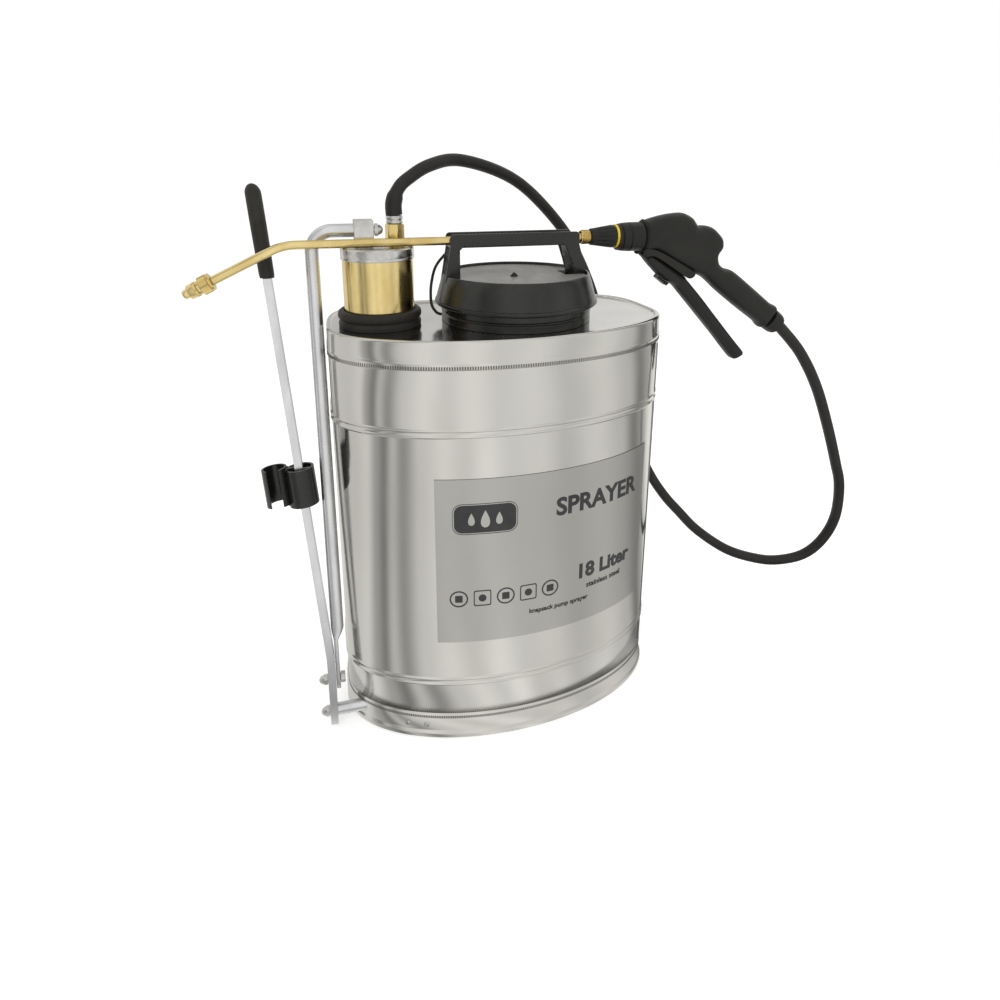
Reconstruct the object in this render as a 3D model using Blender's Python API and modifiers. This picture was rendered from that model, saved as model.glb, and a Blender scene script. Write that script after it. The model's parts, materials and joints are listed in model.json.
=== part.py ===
"""Knapsack piston sprayer: an oval stainless tank with a side lever, a sliding brass
air chamber, a filler lid with a carrying handle, and a spray lance parked in that handle.

Units are metres and +Z is up. The lengths below are measured from the tank's own centre:
+X runs to the tank's right end, and +Y is the side that lies on the wearer's back.
"""

import math

import bmesh
import bpy
import numpy as np
from mathutils import Matrix, Vector

# ---------------------------------------------------------------- driving dimensions
GAP = 0.0003                    # clearance between pieces that touch

TANK_HALF_LENGTH = 0.168        # oval plan
TANK_FRONT_DEPTH = 0.087        # bulged front, an ellipse
TANK_BACK_DEPTH = 0.107         # flatter back, a squarer curve
TANK_BACK_POWER = 4.0
TANK_HEIGHT = 0.413
SHEET = 0.0010                  # tank sheet thickness
UPPER_SEAM = 0.0257             # welded seam below the top rim
LOWER_SEAM = 0.0279             # welded seam above the ground
UPPER_RIB = 0.085               # double rib below the top rim
LOWER_RIB = 0.0662              # double rib above the ground
RIB_HEIGHT = 0.0008
RIB_SPACING = 0.0058
DECK_RECESS = 0.0026            # deck below the rim bead
FLOOR_RISE = 0.0365             # tank floor above the ground
PLAN_POINTS = 56

PUMP_INSET = 0.0510               # pump axis inside the tank's end
PUMP_X, PUMP_Y = -(TANK_HALF_LENGTH - PUMP_INSET), 0.012
CHAMBER_RADIUS = 0.0331
CHAMBER_WALL = 0.0012
CHAMBER_ABOVE_RIM = 0.0622      # top of the brass above the tank rim, lever parked
CHAMBER_LENGTH = 0.240
CAP_HEIGHT = 0.0100
STROKE = 0.0400
COLLAR_WALL = 0.0064
COLLAR_RADIUS = CHAMBER_RADIUS + COLLAR_WALL
COLLAR_HEIGHT = 0.0137          # above the tank rim
BARREL_RADIUS = 0.0165
BARREL_WALL = 0.0014
PISTON_TUBE_RADIUS = 0.0075
PISTON_LENGTH = 0.014

AXLE_Y, AXLE_Z = -0.031, 0.0158
AXLE_RADIUS = 0.0060
AXLE_BOLT_RADIUS = 0.0032
LEVER_CLEAR = 0.01705             # middle of the lever bar's foot beyond the tank's end
LEVER_X = -(TANK_HALF_LENGTH + LEVER_CLEAR)
LEVER_THICKNESS = 0.0075
LEVER_WIDTH = 0.016
LEVER_FOOT = 0.0110             # bar below the axle bolt
LEVER_BEND = 0.0600             # bar turns outward here, above the bolt
LEVER_SPLAY = 0.0850            # outward slope above the bend
LEVER_LEAN = math.radians(7.0)  # toward the wearer, at rest
LEVER_LENGTH = 0.5250
GRIP_LENGTH = 0.0800
GRIP_RADIUS = 0.0072
CLIP_CENTRE = 0.2430            # along the lever
CLIP_HEIGHT = 0.0370
CRANK = 0.0350                  # axle bolt to link bolt

ROD_CLEAR = 0.0085                # rod axis beyond the tank's end
ROD_X = -(TANK_HALF_LENGTH + ROD_CLEAR)
ROD_RADIUS = 0.0063
ROD_BEND = 0.0190
ROD_Y = 0.0205                  # upper pivot
ROD_ABOVE_CAP = 0.0145
TANG_THICKNESS = 0.0040
TANG_LENGTH = 0.0460            # flattened foot, above the link bolt
BRACKET_LENGTH = 0.0180
BRACKET_DEPTH = 0.0200
LINK_BOLT_RADIUS = 0.0030

FITTING_INSET = 0.009283          # hose fitting's axis inside the brass
FITTING_ANGLE = math.atan2(0.0150, 0.0185)
FITTING_X = PUMP_X + (CHAMBER_RADIUS - FITTING_INSET) * math.cos(FITTING_ANGLE)
FITTING_Y = PUMP_Y + (CHAMBER_RADIUS - FITTING_INSET) * math.sin(FITTING_ANGLE)
BRACKET_X = FITTING_X - 0.0300    # link bracket, clear of the hose fitting's hexagon
FITTING_RADIUS = 0.0094         # over the hexagon's corners
FITTING_HEIGHT = 0.0190
FERRULE_RADIUS = 0.0082
FERRULE_HEIGHT = 0.0075
HOSE_DIAMETER = 0.0125

LID_X, LID_Y = 0.0182, 0.0100
LID_RADIUS = 0.0810             # lower rim
LID_TOP_RADIUS = 0.0728
LID_FOOT = 0.0142               # lower rim above the tank rim
LID_HEIGHT = 0.0291
LID_WALL = 0.0026
NECK_RADIUS = 0.0746
NECK_BORE = 0.0585
BASKET_DEPTH = 0.0800
HANDLE_LEFT, HANDLE_RIGHT = -0.0500, 0.0800
LEFT_LEG, RIGHT_LEG = 0.0092, 0.0135
HANDLE_WIDTH = 0.0260
HANDLE_TOP = 0.0825             # above the tank rim
HANDLE_DEPTH = 0.0128
HANDLE_WALL = 0.0030
LEFT_SPREAD, RIGHT_SPREAD = 0.0056, 0.0098   # the legs' outward slope

LANCE_RADIUS = 0.0040
LANCE_BEND_X = -0.1900
LANCE_BEND_RADIUS = 0.0500
LANCE_BEND_ANGLE = math.radians(25.8)
LANCE_TIP_RUN = 0.0560          # straight run after the bend
GUN_Z = 0.0762                  # lance axis above the tank rim
GUN_THICKNESS = 0.0270
NUT_START, NUT_END = 0.0935, 0.1190
HANDLE_ANGLE = math.radians(-35.6)
HANDLE_END = 0.1205             # gun handle's length beyond the elbow
TRIGGER_TRAVEL_CLEARANCE = 0.0006

# ---------------------------------------------------------------- places that follow
RIM = TANK_HEIGHT
DECK = RIM - DECK_RECESS
CHAMBER_TOP = RIM + CHAMBER_ABOVE_RIM
CHAMBER_BOTTOM = CHAMBER_TOP - CHAMBER_LENGTH
CAP_TOP = CHAMBER_TOP + CAP_HEIGHT
ROD_Z = CAP_TOP + ROD_ABOVE_CAP
BARREL_TOP = CHAMBER_BOTTOM - STROKE - 0.0105
BARREL_BOTTOM = FLOOR_RISE + 0.0140
PISTON_BOTTOM = BARREL_BOTTOM + STROKE + 0.0085
LEVER_INNER = LEVER_X + LEVER_THICKNESS / 2
LEVER_OUTER = LEVER_X - LEVER_THICKNESS / 2
CRANK_Y = AXLE_Y + CRANK * math.sin(LEVER_LEAN)
CRANK_Z = AXLE_Z + CRANK * math.cos(LEVER_LEAN)
ROD_LENGTH = math.hypot(ROD_Y - CRANK_Y, ROD_Z - CRANK_Z)
ROD_LEAN = math.atan2(ROD_Y - CRANK_Y, ROD_Z - CRANK_Z)
LID_BOTTOM = RIM + LID_FOOT
LID_TOP = LID_BOTTOM + LID_HEIGHT
HANDLE_Z = RIM + HANDLE_TOP
LANCE_Z = RIM + GUN_Z
LANCE_Y = LID_Y - HANDLE_WIDTH / 2 + HANDLE_WALL + LANCE_RADIUS + GAP
ORIGIN_X, ORIGIN_Y = -0.0207, -0.0100   # tank centre in the object's frame

# ---------------------------------------------------------------- scene and helpers
for old in list(bpy.data.objects):
    bpy.data.objects.remove(old, do_unlink=True)


def makeCollection(name):
    collection = bpy.data.collections.new(name)
    bpy.context.scene.collection.children.link(collection)
    return collection


parts = makeCollection("pump_sprayer")
cutters = makeCollection("cutters")

materials = {}


def material(name, colour, roughness, metallic):
    """One Principled material for each finish."""
    if name not in materials:
        made = bpy.data.materials.new(name)
        made.use_nodes = True
        shader = made.node_tree.nodes["Principled BSDF"]
        shader.inputs["Base Color"].default_value = (*colour, 1.0)
        shader.inputs["Roughness"].default_value = roughness
        shader.inputs["Metallic"].default_value = metallic
        materials[name] = made
    return materials[name]


FINISHES = {
    "stainless": ((0.66, 0.65, 0.62), 0.16, 1.0),
    "galvanised": ((0.70, 0.72, 0.74), 0.34, 1.0),
    "brass": ((0.78, 0.62, 0.28), 0.24, 1.0),
    "brightSteel": ((0.72, 0.72, 0.70), 0.22, 1.0),
    "blackPlastic": ((0.020, 0.020, 0.019), 0.32, 0.0),
    "gunPlastic": ((0.024, 0.024, 0.021), 0.55, 0.0),
    "greyPlastic": ((0.23, 0.23, 0.22), 0.48, 0.0),
    "rubber": ((0.030, 0.029, 0.027), 0.62, 0.0),
    "hoseRubber": ((0.028, 0.027, 0.024), 0.55, 0.0),
    "yellowPlastic": ((0.80, 0.66, 0.06), 0.45, 0.0),
    "label": ((0.52, 0.51, 0.49), 0.42, 0.9),
    "filterPlastic": ((0.75, 0.74, 0.70), 0.50, 0.0),
}

anchors = {}


def anchor(name, place, parent=None, turn=(0.0, 0.0, 0.0)):
    """An empty on a joint's axis, given in the tank's coordinates."""
    empty = bpy.data.objects.new(name, None)
    empty.empty_display_size = 0.02
    cutters.objects.link(empty)
    origin = Vector((0.0, 0.0, 0.0))
    if parent is not None:
        origin = anchors[parent][1]
        empty.parent = anchors[parent][0]
    empty.location = Vector(place) - origin
    empty.rotation_euler = turn
    anchors[name] = (empty, Vector(place))
    return empty


def finish(obj, look, parent, smooth=35.0):
    """Gives a new piece its material, its parent and its shading."""
    for holder in list(obj.users_collection):
        holder.objects.unlink(obj)
    parts.objects.link(obj)
    obj.data.materials.clear()
    obj.data.materials.append(material(look, *FINISHES[look]))
    hang(obj, parent)
    if obj.type == "MESH":
        obj.data.shade_smooth()
        obj.data.set_sharp_from_angle(angle=math.radians(smooth))
    return obj


def hang(obj, parent):
    """Parents a piece, and the shapes that cut it, to an anchor.

    Under an upright anchor they were placed in the tank's coordinates, and under a
    leaning one they were placed from the anchor itself.
    """
    empty, place = anchors[parent]
    obj.parent = empty
    if empty.rotation_euler.x == 0.0:
        obj.location = Vector(obj.location) - place
    for modifier in obj.modifiers:
        if modifier.type == "BOOLEAN" and modifier.object.parent is None:
            hang(modifier.object, parent)


def meshObject(name, mesh, place=(0.0, 0.0, 0.0), turn=(0.0, 0.0, 0.0)):
    obj = bpy.data.objects.new(name, mesh)
    parts.objects.link(obj)
    obj.location = place
    obj.rotation_euler = turn
    return obj


def fromBmesh(name, bm, place=(0.0, 0.0, 0.0), turn=(0.0, 0.0, 0.0)):
    mesh = bpy.data.meshes.new(name)
    bm.to_mesh(mesh)
    bm.free()
    return meshObject(name, mesh, place, turn)


AXIS_TURN = {
    "x": (0.0, math.pi / 2, 0.0),
    "y": (math.pi / 2, 0.0, 0.0),
    "z": (0.0, 0.0, 0.0),
}


def box(name, size, place, turn=(0.0, 0.0, 0.0)):
    bm = bmesh.new()
    bmesh.ops.create_cube(bm, size=1.0)
    bmesh.ops.scale(bm, vec=size, verts=bm.verts)
    return fromBmesh(name, bm, place, turn)


def cylinder(name, radius, length, place, axis="z", sides=24, top=None):
    """A round bar, or a taper when a top radius is given, centred on its place."""
    bm = bmesh.new()
    bmesh.ops.create_cone(
        bm, cap_ends=True, segments=sides, radius1=radius,
        radius2=radius if top is None else top, depth=length,
    )
    return fromBmesh(name, bm, place, AXIS_TURN[axis])


def turned(name, profile, place, turn=(0.0, 0.0, 0.0), steps=32, closed=False):
    """A profile of (radius, height) points, outer side downward, spun about its axis."""
    bm = bmesh.new()
    verts = [bm.verts.new((radius, 0.0, height)) for radius, height in profile]
    pairs = list(zip(verts, verts[1:]))
    if closed:
        pairs.append((verts[-1], verts[0]))
    for first, second in pairs:
        bm.edges.new((first, second))
    obj = fromBmesh(name, bm, place, turn)
    screw = obj.modifiers.new("spin", "SCREW")
    screw.steps = steps
    screw.render_steps = steps
    screw.use_merge_vertices = True
    screw.merge_threshold = 0.00001
    screw.use_smooth_shade = True
    return obj


def wire(name, points, radius, resolution=3, place=(0.0, 0.0, 0.0)):
    """A round tube along a list of points."""
    curve = bpy.data.curves.new(name, "CURVE")
    curve.dimensions = "3D"
    curve.bevel_depth = radius
    curve.bevel_resolution = resolution
    curve.use_fill_caps = True
    spline = curve.splines.new("POLY")
    spline.points.add(len(points) - 1)
    for point, spot in zip(spline.points, points):
        point.co = (*spot, 1.0)
    obj = bpy.data.objects.new(name, curve)
    parts.objects.link(obj)
    obj.location = place
    return obj


def plate(name, outline, thickness, place, turn):
    """A flat outline given thickness on both sides of its plane."""
    bm = bmesh.new()
    half = thickness / 2
    low = [bm.verts.new((across, up, -half)) for across, up in outline]
    high = [bm.verts.new((across, up, half)) for across, up in outline]
    bm.faces.new(reversed(low))
    bm.faces.new(high)
    count = len(outline)
    for index in range(count):
        after = (index + 1) % count
        bm.faces.new((low[index], low[after], high[after], high[index]))
    bmesh.ops.recalc_face_normals(bm, faces=bm.faces)
    return fromBmesh(name, bm, place, turn)


def solid(obj):
    """Turns a curve into a closed mesh, so that it can be cut or joined."""
    bpy.context.view_layer.update()
    name = obj.name
    graph = bpy.context.evaluated_depsgraph_get()
    mesh = bpy.data.meshes.new_from_object(obj.evaluated_get(graph))
    bm = bmesh.new()
    bm.from_mesh(mesh)
    bmesh.ops.remove_doubles(bm, verts=bm.verts, dist=0.00001)
    bmesh.ops.recalc_face_normals(bm, faces=bm.faces)
    bm.to_mesh(mesh)
    bm.free()
    matrix = obj.matrix_world.copy()
    bpy.data.objects.remove(obj, do_unlink=True)
    made = bpy.data.objects.new(name, mesh)
    parts.objects.link(made)
    made.matrix_world = matrix
    mesh.name = name
    return made


def combine(obj, other, operation):
    """Adds a Boolean with the EXACT solver and stores the other shape as a cutter."""
    for holder in list(other.users_collection):
        holder.objects.unlink(other)
    cutters.objects.link(other)
    other.hide_render = True
    other.display_type = "WIRE"
    boolean = obj.modifiers.new(other.name, "BOOLEAN")
    boolean.operation = operation
    boolean.solver = "EXACT"
    boolean.object = other


def cut(obj, *others):
    for other in others:
        combine(obj, other, "DIFFERENCE")
    return obj


def join(obj, *others):
    for other in others:
        combine(obj, other, "UNION")
    return obj


def arc(centre, radius, start, end, steps):
    """Points on an arc, angles in degrees, both ends included."""
    return [
        (centre[0] + radius * math.cos(math.radians(angle)),
         centre[1] + radius * math.sin(math.radians(angle)))
        for angle in np.linspace(start, end, steps)
    ]


# ---------------------------------------------------------------- the tank's oval plan
def ovalCurve():
    """Fine points round the oval from its right end, by way of the back, and their run."""
    angle = np.linspace(0.0, 2 * math.pi, 4001)
    cosine, sine = np.cos(angle), np.sin(angle)
    power = np.where(sine < 0.0, 2.0, TANK_BACK_POWER)
    depth = np.where(sine < 0.0, TANK_FRONT_DEPTH, TANK_BACK_DEPTH)
    x = TANK_HALF_LENGTH * np.sign(cosine) * np.abs(cosine) ** (2 / power)
    y = depth * np.sign(sine) * np.abs(sine) ** (2 / power)
    run = np.concatenate([[0.0], np.cumsum(np.hypot(np.diff(x), np.diff(y)))])
    return x, y, run


def frontShare(across):
    """Share of the oval's length at which its front crosses an X position."""
    x, _, run = ovalCurve()
    half = len(x) // 2
    return float(np.interp(across, x[half:], run[half:])) / run[-1]


def ovalPlan(count=PLAN_POINTS, start=0.0, end=1.0):
    """Points and outward normals, evenly spaced along the oval's length."""
    x, y, run = ovalCurve()
    whole = end - start >= 1.0
    where = np.linspace(start, end, count, endpoint=not whole) * run[-1]
    step = 0.0008
    points = np.stack([np.interp(where, run, x), np.interp(where, run, y)], 1)
    ahead = (where + step) % run[-1]
    behind = (where - step) % run[-1]
    tangent = np.stack(
        [np.interp(ahead, run, x) - np.interp(behind, run, x),
         np.interp(ahead, run, y) - np.interp(behind, run, y)], 1)
    tangent /= np.linalg.norm(tangent, axis=1)[:, None]
    return points, np.stack([tangent[:, 1], -tangent[:, 0]], 1)


def ovalSweep(name, profile, pan=False, count=PLAN_POINTS, start=0.0, end=1.0):
    """A profile of (outward offset, height) points carried round the oval.

    The profile's outer side runs downward. A pan is closed by two plates across the
    oval, at the profile's two ends. A sweep over part of the oval gets end faces.
    """
    points, normals = ovalPlan(count, start, end)
    whole = end - start >= 1.0
    bm = bmesh.new()
    rings = []
    for offset, height in profile:
        spots = points + normals * offset
        rings.append([bm.verts.new((x, y, height)) for x, y in spots])
    pairs = list(zip(rings, rings[1:]))
    if not pan:
        pairs.append((rings[-1], rings[0]))
    last = count if whole else count - 1
    for upper, lower in pairs:
        for index in range(last):
            after = (index + 1) % count
            bm.faces.new((upper[index], lower[index], lower[after], upper[after]))
    if pan:
        bm.faces.new(rings[0])
        bm.faces.new(reversed(rings[-1]))
    if not whole:
        bm.faces.new([ring[0] for ring in reversed(rings)])
        bm.faces.new([ring[-1] for ring in rings])
    bmesh.ops.recalc_face_normals(bm, faces=bm.faces)
    return fromBmesh(name, bm)


# ---------------------------------------------------------------- anchors
anchor("sprayerOrigin", (ORIGIN_X, ORIGIN_Y, 0.0))
anchors["sprayerOrigin"] = (anchors["sprayerOrigin"][0], Vector((0.0, 0.0, 0.0)))
anchor("tankAnchor", (0.0, 0.0, 0.0), "sprayerOrigin")
anchor("pumpAnchor", (PUMP_X, PUMP_Y, 0.0), "sprayerOrigin")
anchor("leverAnchor", (0.0, AXLE_Y, AXLE_Z), "sprayerOrigin", (-LEVER_LEAN, 0.0, 0.0))
anchor("rodAnchor", (0.0, ROD_Y, ROD_Z), "pumpAnchor", (-ROD_LEAN, 0.0, 0.0))
anchor("lidAnchor", (LID_X, LID_Y, LID_BOTTOM), "sprayerOrigin")
anchor("gunAnchor", (0.0, LANCE_Y, LANCE_Z), "lidAnchor")


# ---------------------------------------------------------------- tank
def doubleRib(height):
    """Outer profile points of two fine ridges round the wall, from the top down."""
    points = []
    for centre in (height + RIB_SPACING / 2, height - RIB_SPACING / 2):
        points += [(0.0, centre + 0.0018), (RIB_HEIGHT, centre),
                   (0.0, centre - 0.0018)]
    return points


JOGGLE = SHEET + GAP
upperSeam = RIM - UPPER_SEAM
wallShoulder = upperSeam - 0.0012 - GAP
wallFoot = LOWER_SEAM


def makeTank():
    wall = [(-JOGGLE, upperSeam + 0.006), (-JOGGLE, wallShoulder + 0.0012),
            (0.0, wallShoulder)]
    wall += doubleRib(RIM - UPPER_RIB) + doubleRib(LOWER_RIB)
    wall += [(0.0, wallFoot), (-SHEET, wallFoot), (-SHEET, wallShoulder - 0.0004),
             (-JOGGLE - SHEET, wallShoulder + 0.0008),
             (-JOGGLE - SHEET, upperSeam + 0.006)]
    finish(ovalSweep("tank_wall", wall), "stainless", "tankAnchor")

    bead = RIM
    top = [(-0.0085, DECK), (-0.0064, DECK + 0.0002), (-0.0048, bead - 0.0009),
           (-0.0030, bead), (-0.0012, bead - 0.0008), (0.0, bead - 0.0028),
           (0.0, upperSeam), (-SHEET, upperSeam + 0.0003),
           (-SHEET, DECK - 0.0022), (-0.0026, DECK - 0.0012), (-0.0085, DECK - SHEET)]
    lidPlate = ovalSweep("tank_top", top, pan=True)
    cut(lidPlate,
        cylinder("fillerHole", NECK_BORE + 0.0040 + GAP, 0.03, (LID_X, LID_Y, DECK),
                 sides=40),
        cylinder("pumpHole", CHAMBER_RADIUS + 0.0034, 0.03, (PUMP_X, PUMP_Y, DECK),
                 sides=40))
    finish(lidPlate, "stainless", "tankAnchor")

    rise = FLOOR_RISE
    foot = [(-0.0120, rise), (-0.0045, rise), (-0.0021, rise - 0.0016),
            (-JOGGLE, rise - 0.0040), (-JOGGLE, wallFoot - GAP),
            (0.0, wallFoot - GAP - 0.0012), (0.0, 0.0072), (0.0012, 0.0058),
            (0.0024, 0.0040), (0.0024, 0.0018), (0.0012, 0.0), (-SHEET, 0.0),
            (-SHEET, wallFoot - 0.0020), (-JOGGLE - SHEET, wallFoot - 0.0008),
            (-JOGGLE - SHEET, rise - 0.0044),
            (-0.0045, rise - SHEET), (-0.0120, rise - SHEET)]
    pan = ovalSweep("tank_bottom", foot, pan=True)
    cut(pan, cylinder("axleHole", AXLE_RADIUS + 0.0008, 0.08,
                      (-TANK_HALF_LENGTH, AXLE_Y, AXLE_Z), "x"))
    for index, spot in enumerate(rivetSpots()):
        cut(pan, rivetShape("rivetHole%d" % index, spot, 0.0016 + GAP, 0.0016 + GAP))
    finish(pan, "stainless", "tankAnchor")

    label = [(GAP + 0.0004, 0.2840), (GAP + 0.0004, 0.1120), (GAP, 0.1120),
             (GAP, 0.2840)]
    finish(ovalSweep("front_label", label, count=29, start=frontShare(-0.0830),
                     end=frontShare(0.1400)), "label", "tankAnchor")


def rivetSpots():
    """Plan point, normal and height of the two rivets in the skirt."""
    spots = []
    for across in (BRACKET_PLANE - 0.0088, BRACKET_PLANE + 0.0088):
        points, normals = ovalPlan(2, frontShare(across), 1.0)
        spots.append((points[0], normals[0], 0.0137))
    return spots


def rivetShape(name, spot, shank, head):
    """A rivet, or the hole for one: head outside, shank inward through two sheets."""
    point, normal, height = spot
    angle = math.atan2(normal[1], normal[0])
    reach = 0.0042
    if head > shank:
        profile = [(0.0, 0.0014), (head * 0.6, 0.0011), (head, GAP), (shank, GAP),
                   (shank, -reach), (0.0, -reach)]
    else:
        profile = [(0.0, 0.0040), (shank, 0.0040), (shank, -reach), (0.0, -reach)]
    turn = Matrix.Rotation(angle, 4, "Z") @ Matrix.Rotation(math.pi / 2, 4, "Y")
    return turned(name, profile, (point[0], point[1], height), turn.to_euler(), 16)


# ---------------------------------------------------------------- lever axle
BRACKET_INNER = -SHEET - 0.0012
BRACKET_INSET = 0.0635          # the web that carries the axle, inside the tank's end
BRACKET_PLANE = -(TANK_HALF_LENGTH - BRACKET_INSET)
AXLE_END = BRACKET_PLANE + 0.0295


def makeAxle():
    length = AXLE_END - LEVER_INNER
    tube = [(AXLE_RADIUS, length / 2), (AXLE_RADIUS, -length / 2),
            (AXLE_BOLT_RADIUS + 0.0002, -length / 2),
            (AXLE_BOLT_RADIUS + 0.0002, length / 2)]
    middle = (LEVER_INNER + GAP + AXLE_END) / 2
    finish(turned("axle_tube", [(r, z - GAP / 2 * (z > 0)) for r, z in tube],
                  (middle, AXLE_Y, AXLE_Z), AXIS_TURN["x"], 24, closed=True),
           "galvanised", "tankAnchor")
    shank = 0.100
    finish(cylinder("axle_bolt", AXLE_BOLT_RADIUS, shank,
                    (LEVER_OUTER + shank / 2, AXLE_Y, AXLE_Z), "x", 16),
           "brightSteel", "tankAnchor")
    nut = acornNut("axle_nut")
    nut.location = (LEVER_OUTER - GAP, AXLE_Y, AXLE_Z)
    finish(nut, "brightSteel", "tankAnchor")

    wallY = ovalPlan(2, frontShare(BRACKET_PLANE), 1.0)[0][0][1]
    front, back = wallY - 0.0014, AXLE_Y + 0.0135
    web = box("axle_bracket", (0.0030, back - front, 0.0200),
              (BRACKET_PLANE, (front + back) / 2, AXLE_Z + 0.0007))
    flange = ovalSweep("bracketFlange", [(BRACKET_INNER, 0.0205), (BRACKET_INNER, 0.0062),
                                         (BRACKET_INNER - 0.0020, 0.0062),
                                         (BRACKET_INNER - 0.0020, 0.0205)],
                       count=9, start=frontShare(BRACKET_PLANE - 0.0160),
                       end=frontShare(BRACKET_PLANE + 0.0160))
    trim = ovalSweep("bracketTrim", [(0.0500, 0.0600), (0.0500, -0.0100),
                                     (BRACKET_INNER - 0.0004, -0.0100),
                                     (BRACKET_INNER - 0.0004, 0.0600)],
                     count=9, start=frontShare(BRACKET_PLANE - 0.0300),
                     end=frontShare(BRACKET_PLANE + 0.0300))
    sleeve = cylinder("bracketSleeve", AXLE_RADIUS + 0.0026, 0.016,
                      (BRACKET_PLANE, AXLE_Y, AXLE_Z), "x")
    cut(web, trim)
    join(web, flange, sleeve)
    cut(web, cylinder("bracketBore", AXLE_RADIUS + GAP, 0.05,
                      (BRACKET_PLANE, AXLE_Y, AXLE_Z), "x"))
    for index, spot in enumerate(rivetSpots()):
        cut(web, rivetShape("bracketHole%d" % index, spot, 0.0016 + GAP, 0.0016 + GAP))
    finish(web, "galvanised", "tankAnchor")
    for index, spot in enumerate(rivetSpots()):
        finish(rivetShape("rivet_%d" % (index + 1), spot, 0.0016, 0.0031),
               "brightSteel", "tankAnchor")


def acornNut(name, across=0.0055, length=0.0095):
    """A hexagon with a domed end, its flat seat at the origin and its dome toward -X."""
    hexagon = cylinder(name, across, length * 0.42, (0.0, 0.0, 0.0), "x", 6)
    dome = turned(name + "Dome", [(0.0, length * 0.5)] + arc(
        (0.0, 0.0), length * 0.5, 75, 0, 6) + [(0.0, -0.0005)],
        (0.0, 0.0, 0.0), (0.0, -math.pi / 2, 0.0), 16)
    bm = bmesh.new()
    bm.from_mesh(hexagon.data)
    bmesh.ops.transform(
        bm, verts=bm.verts,
        matrix=Matrix.Translation((-length * 0.21, 0.0, 0.0))
        @ Matrix.Rotation(math.pi / 2, 4, "Y"))
    bm.to_mesh(hexagon.data)
    bm.free()
    hexagon.rotation_euler = (0.0, 0.0, 0.0)
    dome.location = (-length * 0.42, 0.0, 0.0)
    dome.parent = hexagon
    join(hexagon, dome)
    return hexagon


# ---------------------------------------------------------------- lever
def leverOutline():
    """The bar seen from the front: foot, bend, then a straight outward slope."""
    half = LEVER_THICKNESS / 2
    top = LEVER_LENGTH - 0.0120
    lean = LEVER_SPLAY * (top - LEVER_BEND)
    return [(LEVER_X - half, -LEVER_FOOT), (LEVER_X + half, -LEVER_FOOT),
            (LEVER_X + half, LEVER_BEND), (LEVER_X + half - lean, top),
            (LEVER_X - half - lean, top), (LEVER_X - half, LEVER_BEND)]


def leverAt(height):
    """X of the bar's middle at a height along the lever."""
    return LEVER_X - LEVER_SPLAY * max(0.0, height - LEVER_BEND)


def makeLever():
    bar = plate("lever_bar", leverOutline(), LEVER_WIDTH, (0.0, 0.0, 0.0),
                (math.pi / 2, 0.0, 0.0))
    cut(bar, cylinder("boltHole", AXLE_BOLT_RADIUS + GAP, 0.03, (LEVER_X, 0.0, 0.0), "x"))
    shoulder = LEVER_LENGTH - GRIP_LENGTH - GAP
    for side in (-1, 1):
        waist = box("waist%d" % (side + 1), (0.08, LEVER_WIDTH, GRIP_LENGTH + 0.03),
                    (leverAt(LEVER_LENGTH), 0.0, shoulder + GRIP_LENGTH / 2 + 0.015))
        waist.location.y = side * LEVER_WIDTH * 0.81
        cut(bar, waist)
    finish(bar, "galvanised", "leverAnchor")

    slope = math.atan(LEVER_SPLAY)
    start = LEVER_LENGTH - GRIP_LENGTH
    profile = [(0.0, GRIP_LENGTH + 0.0060), (0.0022, GRIP_LENGTH + 0.0048)]
    profile += [(GRIP_RADIUS * 0.72, GRIP_LENGTH + 0.0012), (GRIP_RADIUS, GRIP_LENGTH - 0.006),
                (GRIP_RADIUS, 0.0), (0.0, 0.0)]
    grip = turned("lever_grip", profile, (leverAt(start), 0.0, start),
                  (0.0, -slope, 0.0), 24)
    pocket = plate("gripPocket", [
        (x + side * GAP, z) for (x, z), side in zip(leverOutline(), (-1, 1, 1, 1, -1, -1))
    ], LEVER_WIDTH * 0.62 + 2 * GAP, (0.0, 0.0, 0.0), (math.pi / 2, 0.0, 0.0))
    cut(grip, pocket)
    finish(grip, "rubber", "leverAnchor")
    makeClip()
    nut = acornNut("link_nut")
    nut.location = (LEVER_OUTER - GAP, 0.0, CRANK)
    finish(nut, "brightSteel", "leverAnchor")


CLIP_RADIUS = 0.0140
CLIP_WALL = 0.0024
JAW_RADIUS = 0.0118
JAW_OFFSET = 0.0232


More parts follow.
